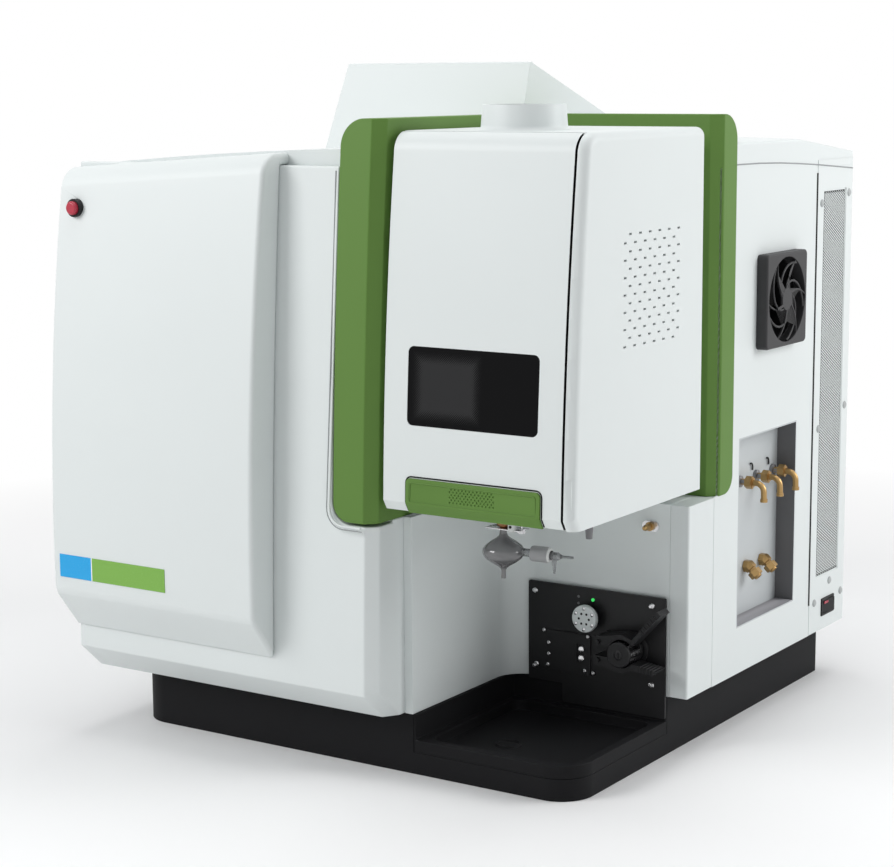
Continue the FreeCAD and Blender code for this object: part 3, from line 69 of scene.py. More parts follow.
MM = 0.001
MERGE = 1e-6
FLAT, SHARP, SMOOTH, TURNED = (math.radians(angle) for angle in (0.35, 25, 32, 40))
UP, FORWARD, REARWARD, OUTWARD = (0, 0, 1), (0, -1, 0), (0, 1, 0), (1, 0, 0)
JUST_UNDER = 0.2 * MM
RIGHT_FACE, FRONT_FACE = 0.351, -0.362
BODY_OF = {node: body for body, nodes in frame["record"]["behaviour"]["bodies"].items()
           for node in nodes}
SLOT_OF = {part["node"]: part["material_slot"] for part in frame["record"]["subparts"]}
FINISHES = {}
ARM = (0.983, 0.178, -0.03)
ARM_START = Vector((0.23, -0.33, 0.302))

# Places in millimetres, as `place` takes them
UNDERSIDE = 354.6
CHAMBER, CLAMP_SCREW = (-121, 32, 0), (-94.8, 32)
VALVE_X, VALVE_FACE, VALVE_Z = -112, 218.4, 174
MODULE_CORNERS = ((-197, 199), (-19, 200), (-195.5, 97), (-19.5, 93.5))
SUB_PLATE_SCREWS = ((-182.5, 146.5), (-175, 130), (-175, 114.5), (-176.5, 99.5), (-114.5, 146),
                    (-119.5, 98.5), (-106.5, 97))
LINE_FITTINGS = ((-124, 128.5), (-124, 116))
LEVER_RIBS = (-18, -13.4, -8.8, -4.2, 0.4)
ELBOWS, WATER_FITTINGS, HOOKS = (447, 499, 551), (470, 520), (481, 533)
# points of the painted shadow line under the lid's edge
LID_SHADOW_LINE = ((326, 767.2), (377, 767.9), (437, 767.4), (503, 765.5), (566, 762.3), (627, 758.6),
            (686, 754.3), (750, 749.6))
HANDLE_RIM = ((-200, 375), (-200, 394), (-21, 394), (-21, 375))
# points of the painted shadow round the handle's pocket
HANDLE_SHADOW_LINE = ((-207.5, 357.5), (-207.5, 368.3), (-207.5, 400.8), (-13.5, 400.8),
               (-13.5, 368.3), (-13.5, 357.5))
HANDLE_LIP = ((-59.1, 369.4), (-51.3, 354.8), (-47.8, 354.8), (-56.0, 369.4))
CAMERA_SPOT, CAMERA_TURN = (1259.06, -2187.69, 882.0), (33.390, 9.405, -0.381)


def place(x, y, z):
    """A point in metres from millimetres right of and behind the plinth's front right corner."""
    return Vector((RIGHT_FACE + x * MM, FRONT_FACE + y * MM, z * MM))

# Nodes and finishes

class Value:
    """A node's output, on which Python's arithmetic adds Math nodes."""

    def __init__(self, tree, socket):
        self.tree, self.socket = tree, socket

    def math(self, operation, *others):
        return self.tree.add("ShaderNodeMath", dict(enumerate((self, *others))),
                             operation=operation)

    def __rsub__(self, other):
        return self.tree.add("ShaderNodeMath", {0: other, 1: self}, operation="SUBTRACT")

    __add__ = partialmethod(math, "ADD")
    __sub__ = partialmethod(math, "SUBTRACT")
    __mul__ = partialmethod(math, "MULTIPLY")
    __truediv__ = partialmethod(math, "DIVIDE")
    __lt__ = partialmethod(math, "LESS_THAN")
    __gt__ = partialmethod(math, "GREATER_THAN")
    __abs__ = partialmethod(math, "ABSOLUTE")

    def clamped(self):
        return self.math("MAXIMUM", 0.0).math("MINIMUM", 1.0)


class Tree:
    """Adds nodes to a node tree: first their settings, then their sockets' values or links."""

    def __init__(self, tree):
        self.tree = tree

    def add(self, kind, inputs=None, output=0, **settings):
        node = self.tree.nodes.new(kind)
        for name, setting in settings.items():
            setattr(node, name, setting)
        for name, value in (inputs or {}).items():
            self.feed(node.inputs[name], value)
        return Value(self, node.outputs[output])

    def feed(self, socket, value):
        if isinstance(value, Value):
            self.tree.links.new(value.socket, socket)
        else:
            socket.default_value = value

    def mix(self, factor, low, high):
        return self.add("ShaderNodeMix", {0: factor, 6: low, 7: high}, 2, data_type="RGBA")


class Shader(Tree):
    """A material's tree with the patterns that the finishes share."""

    def __init__(self, material):
        super().__init__(material.node_tree)
        self.spot = self.add("ShaderNodeTexCoord", output="Object")

    def axes(self):
        split = self.add("ShaderNodeSeparateXYZ", {0: self.spot}).socket.node
        return [Value(self, socket) for socket in split.outputs]

    def stretched(self, scale):
        return self.add("ShaderNodeMapping", {"Vector": self.spot, "Scale": scale})

    def noise(self, scale, detail=2.0, vector=None):
        return self.add("ShaderNodeTexNoise",
                        {"Vector": vector or self.spot, "Scale": scale, "Detail": detail})

    def shaded(self, colour, factor, swing):
        """The colour, made a little darker and lighter by a factor of 0 to 1."""
        low = [part * (1 - swing) for part in colour[:3]] + [1]
        high = [min(1, part * (1 + swing)) for part in colour[:3]] + [1]
        return self.mix(factor, low, high)

    def bump(self, height, depth, strength=1.0):
        return self.add("ShaderNodeBump",
                        {"Height": height, "Distance": depth, "Strength": strength})


def finish(name, build, **constants):
    """A principled material: constants go on its sockets and build returns what varies."""
    material = bpy.data.materials.new(name)
    material.use_nodes = True
    shader = material.node_tree.nodes["Principled BSDF"]
    for key, value in constants.items():
        shader.inputs[key.replace("_", " ")].default_value = value
    tree = Shader(material)
    for key, value in build(tree).items():
        tree.feed(shader.inputs[key], value)
    FINISHES[name] = material
    return material


def opaque(colour):
    return [*colour[:3], 1.0]


def moulded(colour, roughness, grain, depth, swing=0.03):
    """Moulded plastic or coated sheet: a fine grain, and slow changes of tone and gloss."""
    def build(tree):
        slow = tree.noise(7.0, 3.0)
        fine = tree.noise(grain, 3.0)
        return {
            "Base Color": tree.shaded(colour, slow, swing),
            "Roughness": fine * 0.08 + slow * 0.06 + (roughness - 0.07),
            "Normal": tree.bump(fine, depth),
        }
    return build


def machined(colour, roughness, stretch, swing=0.06):
    """Bare metal with fine lines that run along one axis."""
    def build(tree):
        lines = tree.noise(1.0, 3.0, tree.stretched(stretch))
        slow = tree.noise(30.0, 2.0)
        return {
            "Base Color": tree.shaded(colour, slow, swing),
            "Roughness": lines * 0.16 + slow * 0.08 + (roughness - 0.12),
            "Normal": tree.bump(lines, 0.00002),
        }
    return build


def blown(colour, roughness):
    """Blown glass, with the slow waves of its wall."""
    def build(tree):
        waves = tree.noise(45.0, 1.0)
        return {
            "Base Color": tree.shaded(colour, waves, 0.02),
            "Roughness": waves * 0.03 + roughness,
            "Normal": tree.bump(waves, 0.0001, 0.4),
        }
    return build


def badge_fields(blue, green, split, line):
    """Two printed fields of colour with a thin white line between them."""
    def build(tree):
        across = tree.axes()[0]
        fine = tree.noise(900.0, 2.0)
        left = across < split - line / 2
        right = across > split + line / 2
        printed = tree.mix(left, [0.85, 0.88, 0.88, 1], opaque(blue))
        return {
            "Base Color": tree.mix(right, printed, tree.shaded(green, fine, 0.03)),
            "Roughness": fine * 0.05 + 0.24,
        }
    return build


def dotted_window(colour, dot, box, pitch):
    """Dark glazing, printed behind its left part with dots that fade towards the edges."""
    low, high = box

    def build(tree):
        across, _, up = tree.axes()
        edge_left = (across - (low.x + 0.004)) / 0.022
        edge_right = ((low.x * 0.42 + high.x * 0.58) - across) / 0.02
        edge_low = (up - (low.z + 0.003)) / 0.022
        edge_high = ((high.z - 0.003) - up) / 0.022
        fade = edge_left.math("MINIMUM", edge_right)
        fade = fade.math("MINIMUM", edge_low.math("MINIMUM", edge_high)).clamped()
        turned = [(across + up) / pitch, (across - up) / pitch]
        cells = [abs(part.math("FRACT") - 0.5) for part in turned]
        spread = (cells[0] * cells[0] + cells[1] * cells[1]).math("SQRT")
        dots = spread < fade * 0.75
        slow = tree.noise(20.0, 1.0)
        return {
            "Base Color": tree.mix(dots, opaque(colour), opaque(dot)),
            "Roughness": dots * 0.20 + slow * 0.04 + 0.14,
        }
    return build


def assign(thing, name):
    """Gives every slot of a mesh one finish."""
    material = FINISHES[name]
    if not thing.data.materials:
        thing.data.materials.append(material)
    for slot in thing.material_slots:
        slot.material = material


# Pieces

def linked(name, data):
    """A new object in the scene."""
    thing = bpy.data.objects.new(name, data)
    bpy.context.collection.objects.link(thing)
    return thing


def loose_mesh(name, mesh):
    """An object made from a bmesh, at the origin."""
    data = bpy.data.meshes.new(name)
    mesh.to_mesh(data)
    mesh.free()
    return linked(name, data)


def shade(thing, angle=TURNED):
    """Smooth faces that keep their sharp edges."""
    thing.data.polygons.foreach_set("use_smooth", [True] * len(thing.data.polygons))
    thing.data.set_sharp_from_angle(angle=angle)
    return thing


def baked(thing):
    """The object with its modifiers turned into plain mesh."""
    bpy.context.view_layer.update()
    shape = thing.evaluated_get(bpy.context.evaluated_depsgraph_get())
    data = bpy.data.meshes.new_from_object(shape)
    thing.modifiers.clear()
    thing.data = data
    return thing


def smoothed(mesh, name):
    """An object with smooth faces that keeps its sharp edges and weights its normals by area."""
    thing = shade(loose_mesh(name, mesh), SMOOTH)
    weighted = thing.modifiers.new("Weighted", "WEIGHTED_NORMAL")
    weighted.keep_sharp = True
    return baked(thing)


def add_piece(thing, name, body, finish_name, slot, *nodes):
    """Names a piece, gives it its finish, and sets it to ride on its body."""
    thing.name = name
    if finish_name:
        assign(thing, finish_name)
    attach(thing, body)
    if nodes:
        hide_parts(*nodes)
    return thing


def solid(name, mesh, finish_name, slot, *nodes, body="chassis", angle=TURNED):
    """A piece made of turned forms and blocks."""
    return add_piece(shade(loose_mesh(name, mesh), angle), name, body, finish_name, slot, *nodes)


def stand_in(node_name, mesh, finish_name, angle=TURNED):
    """A piece made of turned forms and blocks that stands for a CAD node."""
    return solid(node_name + "_shell", mesh, finish_name, SLOT_OF[node_name], node_name,
                 angle=angle)


def slabs(name, corners, finish_name, slot, body="chassis"):
    """A piece made of plain slabs, each between two corners."""
    mesh = bmesh.new()
    for low, high in corners:
        block(mesh, low, high)
    return add_piece(loose_mesh(name, mesh), name, body, finish_name, slot)


def merged(node_name):
    """A node's mesh as a bmesh, with its doubles merged and its flat faces joined."""
    mesh = bmesh.new()
    mesh.from_mesh(frame["nodes"][node_name].data)
    bmesh.ops.remove_doubles(mesh, verts=mesh.verts, dist=MERGE)
    bmesh.ops.dissolve_limit(mesh, angle_limit=FLAT, verts=mesh.verts, edges=mesh.edges)
    return mesh


def everywhere(middle, edge):
    return True


def round_edges(mesh, radius, steps=2, test=everywhere):
    """Rounds the sharp edges whose middle passes a test."""
    chosen = [edge for edge in mesh.edges
              if len(edge.link_faces) == 2 and edge.calc_face_angle() > SHARP
              and test((edge.verts[0].co + edge.verts[1].co) / 2, edge)]
    if not chosen:
        raise RuntimeError("no edge to round")
    bmesh.ops.bevel(mesh, geom=chosen, offset=radius, segments=steps, profile=0.5,
                    affect="EDGES", clamp_overlap=True)


def worn(mesh, node_name, finish_name=None):
    """The piece that stands for a CAD node, from the node's worked mesh."""
    name, slot = node_name + "_shell", SLOT_OF[node_name]
    return add_piece(smoothed(mesh, name), name, BODY_OF[node_name], finish_name or slot, slot,
                     node_name)


def dress(node_name, radius=0.0, steps=2, test=everywhere, finish_name=None):
    """A finished copy of a CAD node that stands for it, with its edges rounded."""
    mesh = merged(node_name)
    if radius:
        round_edges(mesh, radius, steps, test)
    return worn(mesh, node_name, finish_name)


def dress_all(names, radius=0.0, steps=2):
    for name in names:
        dress(name, radius, steps)


def assign_where(thing, name, test):
    """Gives the faces whose centre and normal pass a test another finish."""
    thing.data.materials.append(FINISHES[name])
    slot = len(thing.data.materials) - 1
    for face in thing.data.polygons:
        if test(face.center, face.normal):
            face.material_index = slot


def lathed(mesh, outline, spot, axis, sides=32):
    """Adds a closed turned form: its outline gives radius and height in millimetres."""
    turn = Matrix.Translation(spot) @ Vector(axis).to_track_quat("Z", "Y").to_matrix().to_4x4()
    rings = []
    for radius, height in outline:
        ring = []
        for step in range(sides):
            angle = math.tau * step / sides
            ring.append(mesh.verts.new(turn @ (Vector((radius * math.cos(angle),
                                                       radius * math.sin(angle), height)) * MM)))
        rings.append(ring)
    for low, high in zip(rings, rings[1:]):
        for step in range(sides):
            after = (step + 1) % sides
            mesh.faces.new((low[step], low[after], high[after], high[step]))
    mesh.faces.new(list(reversed(rings[0])))
    mesh.faces.new(rings[-1])
    return mesh


def block(mesh, low, high, radius=0.0):
    """Adds a box between two corners, with its edges rounded."""
    made = bmesh.ops.create_cube(mesh, size=1.0)["verts"]
    middle, size = (low + high) / 2, high - low
    for vert in made:
        vert.co = Vector(part * wide for part, wide in zip(vert.co, size)) + middle
    if radius:
        edges = {edge for vert in made for edge in vert.link_edges}
        bmesh.ops.bevel(mesh, geom=list(edges), offset=radius, segments=2, profile=0.5,
                        affect="EDGES")
    return mesh


def tubes(name, runs, radius, finish_name, slot, body="chassis", bend=0.0, sides=14):
    """Round bars or pipes along runs of points, with the corners of the runs rounded."""
    data = bpy.data.meshes.new(name)
    spots, edges = [], []
    for run in runs:
        edges += [(len(spots) + step, len(spots) + step + 1) for step in range(len(run) - 1)]
        spots += [tuple(spot) for spot in run]
    data.from_pydata(spots, edges, [])
    tree = Grower(name, [("Radius", "Float", radius), ("Bend", "Float", bend)])
    path = tree.add("GeometryNodeMeshToCurve", {0: tree.input("Geometry")})
    if bend:
        path = tree.add("GeometryNodeFilletCurve",
                        {"Curve": path, "Count": 7, "Radius": tree.input("Bend"),
                         "Limit Radius": True}, mode="POLY")
    ring = tree.add("GeometryNodeCurvePrimitiveCircle",
                    {"Resolution": sides, "Radius": tree.input("Radius")})
    swept = tree.add("GeometryNodeCurveToMesh",
                     {"Curve": path, "Profile Curve": ring, "Fill Caps": True})
    tree.close(swept, FINISHES[finish_name])
    return add_piece(shade(tree.run(linked(name, data))), name, body, None, slot)


def cut_below(mesh, level):
    """Takes away what lies below a level and closes the walls that are cut."""
    parts = mesh.verts[:] + mesh.edges[:] + mesh.faces[:]
    cut = bmesh.ops.bisect_plane(mesh, geom=parts, plane_co=(0, 0, level), plane_no=UP,
                                 clear_inner=True)["geom_cut"]
    edges = [part for part in cut if isinstance(part, bmesh.types.BMEdge)]
    bmesh.ops.triangle_fill(mesh, use_beauty=True, edges=edges)


def meets(node_name, start, direction):
    """The point where a line first meets a CAD node."""
    data = frame["nodes"][node_name].data
    tree = BVHTree.FromPolygons([vert.co for vert in data.vertices],
                                [face.vertices for face in data.polygons])
    where = tree.ray_cast(start, Vector(direction))[0]
    if where is None:
        raise RuntimeError(f"the line from {start} misses {node_name}")
    return where


def on_front(node_name, x, z):
    """A point just under a node's front, at a width and height."""
    return meets(node_name, place(x, -500, z), REARWARD) + Vector(REARWARD) * JUST_UNDER


# Geometry node trees

class Grower(Tree):
    """A geometry tree with named inputs, run once on an object and then turned into mesh."""

    def __init__(self, name, inputs):
        group = bpy.data.node_groups.new(name, "GeometryNodeTree")
        group.interface.new_socket("Geometry", in_out="INPUT", socket_type="NodeSocketGeometry")
        for label, kind, _ in inputs:
            group.interface.new_socket(label, in_out="INPUT", socket_type="NodeSocket" + kind)
        group.interface.new_socket("Geometry", in_out="OUTPUT", socket_type="NodeSocketGeometry")
        super().__init__(group)
        self.inputs = {label: value for label, _, value in inputs}
        self.start = group.nodes.new("NodeGroupInput")

    def input(self, label):
        return Value(self, self.start.outputs[label])

    def close(self, geometry, material):
        """Ends the tree in Realize Instances and Set Material."""
        real = self.add("GeometryNodeRealizeInstances", {0: geometry})
        done = self.add("GeometryNodeSetMaterial", {0: real, "Material": material})
        end = self.tree.nodes.new("NodeGroupOutput")
        self.tree.links.new(done.socket, end.inputs[0])

    def run(self, thing):
        """Runs the tree on an object and leaves its result as plain mesh."""
        modifier = thing.modifiers.new("Grow", "NODES")
        modifier.node_group = self.tree
        for item in self.tree.interface.items_tree:
            if item.in_out == "INPUT" and item.name in self.inputs:
                modifier[item.identifier] = self.inputs[item.name]
        return baked(thing)


def points_object(name, spots):
    """An object whose mesh is only the given points."""
    data = bpy.data.meshes.new(name)
    data.from_pydata([tuple(spot) for spot in spots], [], [])
    return linked(name, data)


def screw_heads(name, spots, radius, height, finish_name):
    """Domed screw heads that face forward, with a hexagon recess, one on each point."""
    tree = Grower(name, [("Radius", "Float", radius), ("Height", "Float", height),
                         ("Turn", "Rotation", (math.pi / 2, 0, 0))])
    wide, tall = tree.input("Radius"), tree.input("Height")

    def raised(shape, rise):
        lift = tree.add("ShaderNodeCombineXYZ", {2: rise})
        return tree.add("GeometryNodeTransform", {0: shape, "Translation": lift})
    skirt = tree.add("GeometryNodeMeshCylinder", {"Vertices": 20, "Radius": wide, "Depth": tall})
    crown = tree.add("GeometryNodeMeshCone", {"Vertices": 20, "Radius Top": wide * 0.7,
                                              "Radius Bottom": wide, "Depth": tall * 0.5})
    crown = raised(crown, tall * 0.5)
    recess = tree.add("GeometryNodeMeshCylinder",
                      {"Vertices": 6, "Radius": wide * 0.42, "Depth": tall})
    joined = tree.add("GeometryNodeMeshBoolean", {"Mesh 2": skirt}, operation="UNION")
    tree.feed(joined.socket.node.inputs["Mesh 2"], crown)
    sunk = tree.add("GeometryNodeMeshBoolean", {"Mesh 1": joined, "Mesh 2": raised(recess, tall)},
                    operation="DIFFERENCE")
    heads = tree.add("GeometryNodeInstanceOnPoints",
                     {"Points": tree.input("Geometry"), "Instance": sunk,
                      "Rotation": tree.input("Turn")})
    tree.close(heads, FINISHES[finish_name])
    return add_piece(tree.run(points_object(name, spots)), name, "chassis", None, "steel")


# Panel settings

def length(name, description, default, low):
    return FloatProperty(name=name, description=description, default=default, min=low,
                         unit="LENGTH")


def colour(name, description, default):
    return FloatVectorProperty(name=name, description=description, size=3, default=default,
                               subtype="COLOR", min=0, max=1)


class SpectrometerSizes(bpy.types.PropertyGroup):
    """Sizes of the rounded edges and of what repeats."""

    edge: length("Edge", "Rounding of a plain edge", 0.0012, 0.0002)
    panel_edge: length("Panel edge", "Rounding of the enclosure's edges", 0.003, 0.0002)
    cover_edge: length("Cover edge", "Rounding of the left front cover", 0.009, 0.0005)
    dot_pitch: length("Dot pitch", "Pitch of the dots on the window", 0.0030, 0.001)
    mesh_pitch: length("Mesh pitch", "Pitch of the perforated sheet", 0.0042, 0.002)
    mesh_wire: length("Mesh web", "Width left between its holes", 0.0013, 0.0004)
    dimple: length("Dimple", "Radius of a dimple in the door's handle", 0.0014, 0.0004)
    dimple_columns: IntProperty(name="Dimples", description="Dimples along the handle",
                                default=13, min=2)


class SpectrometerColours(bpy.types.PropertyGroup):
    """Colours of the finishes."""

    body: colour("Body", "Powder coat of the enclosure", (0.72, 0.76, 0.755))
    green: colour("Frame", "Green of the frame and the handle", (0.108, 0.215, 0.042))
    plinth: colour("Plinth", "Near black of plinth and tray", (0.008, 0.008, 0.009))
    button: colour("Button", "Red of the stop button", (0.42, 0.025, 0.05))
    badge_blue: colour("Badge left", "Left field of the badge", (0.0, 0.36, 0.76))
    badge_green: colour("Badge right", "Right field of the badge", (0.19, 0.42, 0.06))


def settings():
    return bpy.context.scene.spectrometer_sizes, bpy.context.scene.spectrometer_colours


class Maker:
    """Makes its pieces with the panel's sizes."""

    def execute(self, context):
        self.make(settings()[0])
        return {"FINISHED"}


class MakeFinishes(Maker, bpy.types.Operator):
    """Makes the materials that the pieces wear"""
    bl_idname = "spectrometer.finishes"
    bl_label = "Finishes"

    def make(self, sizes):
        colours = settings()[1]
        badge_low, badge_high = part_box("badge_plate")
        split = badge_low.x + (badge_high.x - badge_low.x) * 0.31
        coats = {
            "enclosure_white": (colours.body, 0.42, 650.0, 0.00006, 0.015, 0.40),
            "base_black": (colours.plinth, 0.60, 1500.0, 0.00012, 0.10, 0.12),
            "frame_green": (colours.green, 0.50, 1300.0, 0.00005, 0.03, 0.25),
            "button_red": (colours.button, 0.28, 600.0, 0.00002, 0.04, 0.50),
            "dark_plastic": ((0.012, 0.012, 0.013), 0.46, 1500.0, 0.00006, 0.10, 0.25),
            "fan_grey": ((0.035, 0.035, 0.037), 0.50, 1200.0, 0.00006, 0.08, 0.30),
            "module_black": ((0.010, 0.010, 0.011), 0.40, 1700.0, 0.00005, 0.08, 0.30),
            "white_plastic": ((0.62, 0.63, 0.62), 0.40, 900.0, 0.00003, 0.03, 0.40),
            "grey_plastic": ((0.17, 0.17, 0.175), 0.45, 900.0, 0.00004, 0.05, 0.40),
            "recess_grey": ((0.52, 0.55, 0.56), 0.38, 800.0, 0.00003, 0.03, 0.40),
            # darker copies of the recess's grey: painted shade on its forward-facing walls and
            # its floor
            "recess_wall_painted_shade": ((0.13, 0.13, 0.135), 0.45, 800.0, 0.00003, 0.04, 0.30),
            "recess_floor_painted_shade": ((0.32, 0.32, 0.34), 0.45, 800.0, 0.00003, 0.04, 0.30),
            # near black of the fan's rotor, also used as painted shade in gaps, behind the vent
            # and round the handle
            "black_and_painted_shade": ((0.006, 0.006, 0.006), 0.60, 800.0, 0.00003, 0.03, 0.10),
            # grey of the painted shadow lines under the lid and beside the frame
            "painted_shadow_grey": ((0.30, 0.315, 0.32), 0.55, 800.0, 0.00003, 0.03, 0.20),
            "screw_grey": ((0.40, 0.42, 0.42), 0.40, 900.0, 0.00003, 0.04, 0.40),
        }
        for name, (colour, roughness, grain, depth, swing, gloss) in coats.items():
            finish(name, moulded(colour, roughness, grain, depth, swing),
                   Specular_IOR_Level=gloss)
        finish("badge_blue_green", badge_fields(colours.badge_blue, colours.badge_green, split,
                                                0.0016))
        finish("window_dark", dotted_window((0.003, 0.003, 0.0035), (0.028, 0.028, 0.029),
                                            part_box("door_window"), sizes.dot_pitch),
               Specular_IOR_Level=0.08)
        metals = {
            "pale_metal": ((0.72, 0.73, 0.74), 0.36, (60.0, 60.0, 1400.0)),
            "steel": ((0.62, 0.62, 0.63), 0.26, (1500.0, 90.0, 90.0)),
            "dull_steel": ((0.26, 0.26, 0.27), 0.42, (1500.0, 90.0, 90.0)),
            "brass": ((0.40, 0.26, 0.11), 0.34, (90.0, 1200.0, 300.0)),
            "copper": ((0.55, 0.27, 0.14), 0.30, (90.0, 900.0, 300.0)),
        }
        for name, (colour, roughness, stretch) in metals.items():
            finish(name, machined(colour, roughness, stretch), Metallic=1.0)
        for name, colour, roughness, clearness in (
                ("clear_glass", (0.94, 0.96, 0.96), 0.02, 1.0),
                ("pale_glass", (0.42, 0.43, 0.44), 0.04, 0.80),
                ("frosted_glass", (0.34, 0.345, 0.35), 0.42, 0.20)):
            finish(name, blown(colour, roughness), Transmission_Weight=clearness, IOR=1.46)
        finish("smoky_glass", blown((0.20, 0.20, 0.205), 0.03), Transmission_Weight=0.35,
               IOR=1.5, Coat_Weight=0.6, Coat_Roughness=0.03)
        finish("lamp_green", moulded((0.04, 0.75, 0.12), 0.25, 900.0, 0.00001),
               Emission_Color=(0.05, 0.8, 0.15, 1), Emission_Strength=0.6)


class MakeBase(Maker, bpy.types.Operator):
    """Dresses the plinth and the drip tray"""
    bl_idname = "spectrometer.base"
    bl_label = "Base and tray"

    def make(self, sizes):
        dress("base_plinth", sizes.edge)
        dress("drip_tray", sizes.edge, 3)


def side_panel():
    """The side panel, with its front edge inside the frame where the frame passes it."""
    mesh = merged("right_side_panel")
    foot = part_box("green_frame")[0].z
    for level in (foot + 0.5 * MM, foot + 1.0 * MM):
        parts = mesh.verts[:] + mesh.edges[:] + mesh.faces[:]
        bmesh.ops.bisect_plane(mesh, geom=parts, plane_co=(0, 0, level), plane_no=UP)
    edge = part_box("right_side_panel")[0].y
    for vert in mesh.verts:
        if vert.co.y < edge + 1 * MM and vert.co.z > foot + 0.8 * MM:
            vert.co.y = place(0, 329, 0).y
    worn(mesh, "right_side_panel")


def seams():
    """The painted shade in the gap behind the side panel, the lid's filler, and painted shadow
    lines under the lid and beside the frame's bead.
    """
    # a black slab in the gap behind the side panel is painted shade
    slabs("side_gap", [(place(28.5, 624.4, 124), place(29.3, 629.4, 747))], "black_and_painted_shade",
          "enclosure_white")
    slabs("lid_skirt", [(place(26.9, 629, 754.9), place(29, 751.5, 765.2))],
          "enclosure_white", "enclosure_white")
    # a thin grey line under the lid's edge is a painted shadow
    tubes("lid_line", [[place(29.1, y, z) for y, z in LID_SHADOW_LINE]], 0.0009, "painted_shadow_grey",
          "enclosure_white", sides=8)

    def leaning(x, z):
        """A point on the leaning front face."""
        return place(x, -50.5 - (611 - z) * 0.0729, z)
    tubes("frame_bead", [[leaning(-314.5, 768), leaning(-314.5, 331), leaning(-266, 331)]],
          0.0016, "enclosure_white", "enclosure_white", bend=0.022)
    # a grey line beside the bead is the painted shadow of the groove round the frame
    tubes("frame_line", [[leaning(-318.5, 770), leaning(-318.5, 327), leaning(-264, 327)]],
          0.0007, "painted_shadow_grey", "enclosure_white", bend=0.026, sides=8)


class MakeEnclosure(Maker, bpy.types.Operator):
    """Dresses the housings, lid, hood, liner, panels and rear sheet"""
    bl_idname = "spectrometer.enclosure"
    bl_label = "Enclosure"

    def make(self, sizes):
        dress_all(("left_housing", "top_lid", "rear_hood"), sizes.panel_edge, 3)
        dress_all(("right_housing", "corner_column", "rear_panel"), sizes.edge)
        dress_all(("sample_liner", "rear_vent_panel"), 0.0004, 1)
        side_panel()
        seams()


class MakeCover(Maker, bpy.types.Operator):
    """Dresses the left front cover with its badge and stop button"""
    bl_idname = "spectrometer.cover"
    bl_label = "Front cover"

    def make(self, sizes):
        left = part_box("left_front_cover")[0].x
        button_low, button_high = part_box("stop_button_collar")
        button = (button_low + button_high) / 2

        def outer(spot, edge):
            near_button = math.hypot(spot.x - button.x, spot.z - button.z) < 16 * MM
            return not near_button and spot.y < -0.39 and spot.x > left + 2 * MM
        dress("left_front_cover", sizes.cover_edge, 5, outer)
        dress("badge_plate")
        dress("stop_button_collar", 0.0005)
        dress("stop_button", 0.0008, 3)


class MakeFrame(Maker, bpy.types.Operator):
    """Dresses the green frame round the notch"""
    bl_idname = "spectrometer.frame"
    bl_label = "Green frame"

    def make(self, sizes):
        dress("green_frame", sizes.edge, 3)
        slabs("frame_seal", [(place(26.8, 324.6, 337), place(29.2, 329.6, 764))], "frame_green",
              "frame_green")


class MakeTorchBox(Maker, bpy.types.Operator):
    """Dresses the torch compartment with its exhaust"""
    bl_idname = "spectrometer.torch_box"
    bl_label = "Torch compartment"

    def make(self, sizes):
        mesh = merged("torch_housing")
        cut_below(mesh, UNDERSIDE * MM)
        block(mesh, place(-234, -36, UNDERSIDE), place(22, 261, UNDERSIDE + 1))
        shell = worn(mesh, "torch_housing")
        # faces that face the gap at the compartment's right are painted black as shade
        assign_where(shell, "black_and_painted_shade", lambda spot, facing: facing.x < -0.7
                     and place(10, 0, 0).x < spot.x < place(19, 0, 0).x)
        mesh = merged("torch_mount")
        cut_below(mesh, (UNDERSIDE + 1) * MM)
        worn(mesh, "torch_mount")
        dress("exhaust_collar", 0.0006, finish_name="enclosure_white")
        dress_all(("exhaust_chimney", "quartz_torch", "induction_plates", "door_hinge_pins"))


def lip():
    """The thin lip that leans forward under the handle."""
    mesh = bmesh.new()
    left, right = ([mesh.verts.new(place(x, y, z)) for y, z in HANDLE_LIP] for x in (-206, -15))
    mesh.faces.new(left)
    mesh.faces.new(reversed(right))
    for step in range(4):
        after = (step + 1) % 4
        mesh.faces.new((left[after], left[step], right[step], right[after]))
    bmesh.ops.recalc_face_normals(mesh, faces=mesh.faces)
    mesh.normal_update()
    round_edges(mesh, 0.0006)
    add_piece(smoothed(mesh, "door_handle_lip"), "door_handle_lip", "door", "frame_green",
              "frame_green")


def handle(sizes):
    """The handle with two staggered sets of dimples sunk into its middle."""
    mesh = merged("door_handle")
    round_edges(mesh, 0.0006)
    thing = smoothed(mesh, "door_handle_shell")
    low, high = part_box("door_handle")
    centre = (low + high) / 2
    across, up, lift, rows = 5.2 * MM, 5.2 * 0.62 * MM, 3 * MM, 6
    sunk = []
    for row in range(rows):
        last = sizes.dimple_columns - 1 - row % 2
        for column in range(last + 1):
            start = Vector((centre.x + (column - last / 2) * across, -1.0,
                            centre.z + lift + (row - (rows - 1) / 2) * up))
            hit, where, _, _ = thing.ray_cast(start, Vector(REARWARD))
            if not hit:
                raise RuntimeError("a dimple misses the handle")
            sunk.append(where - Vector((0, sizes.dimple * 0.1, 0)))
    cloud = points_object("dimple_points", sunk)
    grower = Grower("HandleDimples", [("Radius", "Float", sizes.dimple),
                                      ("Points", "Object", cloud)])
    ball = grower.add("GeometryNodeMeshUVSphere",
                      {"Segments": 10, "Rings": 8, "Radius": grower.input("Radius")})
    info = grower.add("GeometryNodeObjectInfo", {0: grower.input("Points")}, "Geometry")
    balls = grower.add("GeometryNodeInstanceOnPoints", {"Points": info, "Instance": ball})
    balls = grower.add("GeometryNodeRealizeInstances", {0: balls})
    carved = grower.add("GeometryNodeMeshBoolean",
                        {"Mesh 1": grower.input("Geometry"), "Mesh 2": balls},
                        operation="DIFFERENCE")
    grower.close(carved, FINISHES["frame_green"])
    grower.run(thing)
    bpy.data.objects.remove(cloud)
    add_piece(thing, "door_handle_shell", "door", "frame_green", "frame_green", "door_handle")


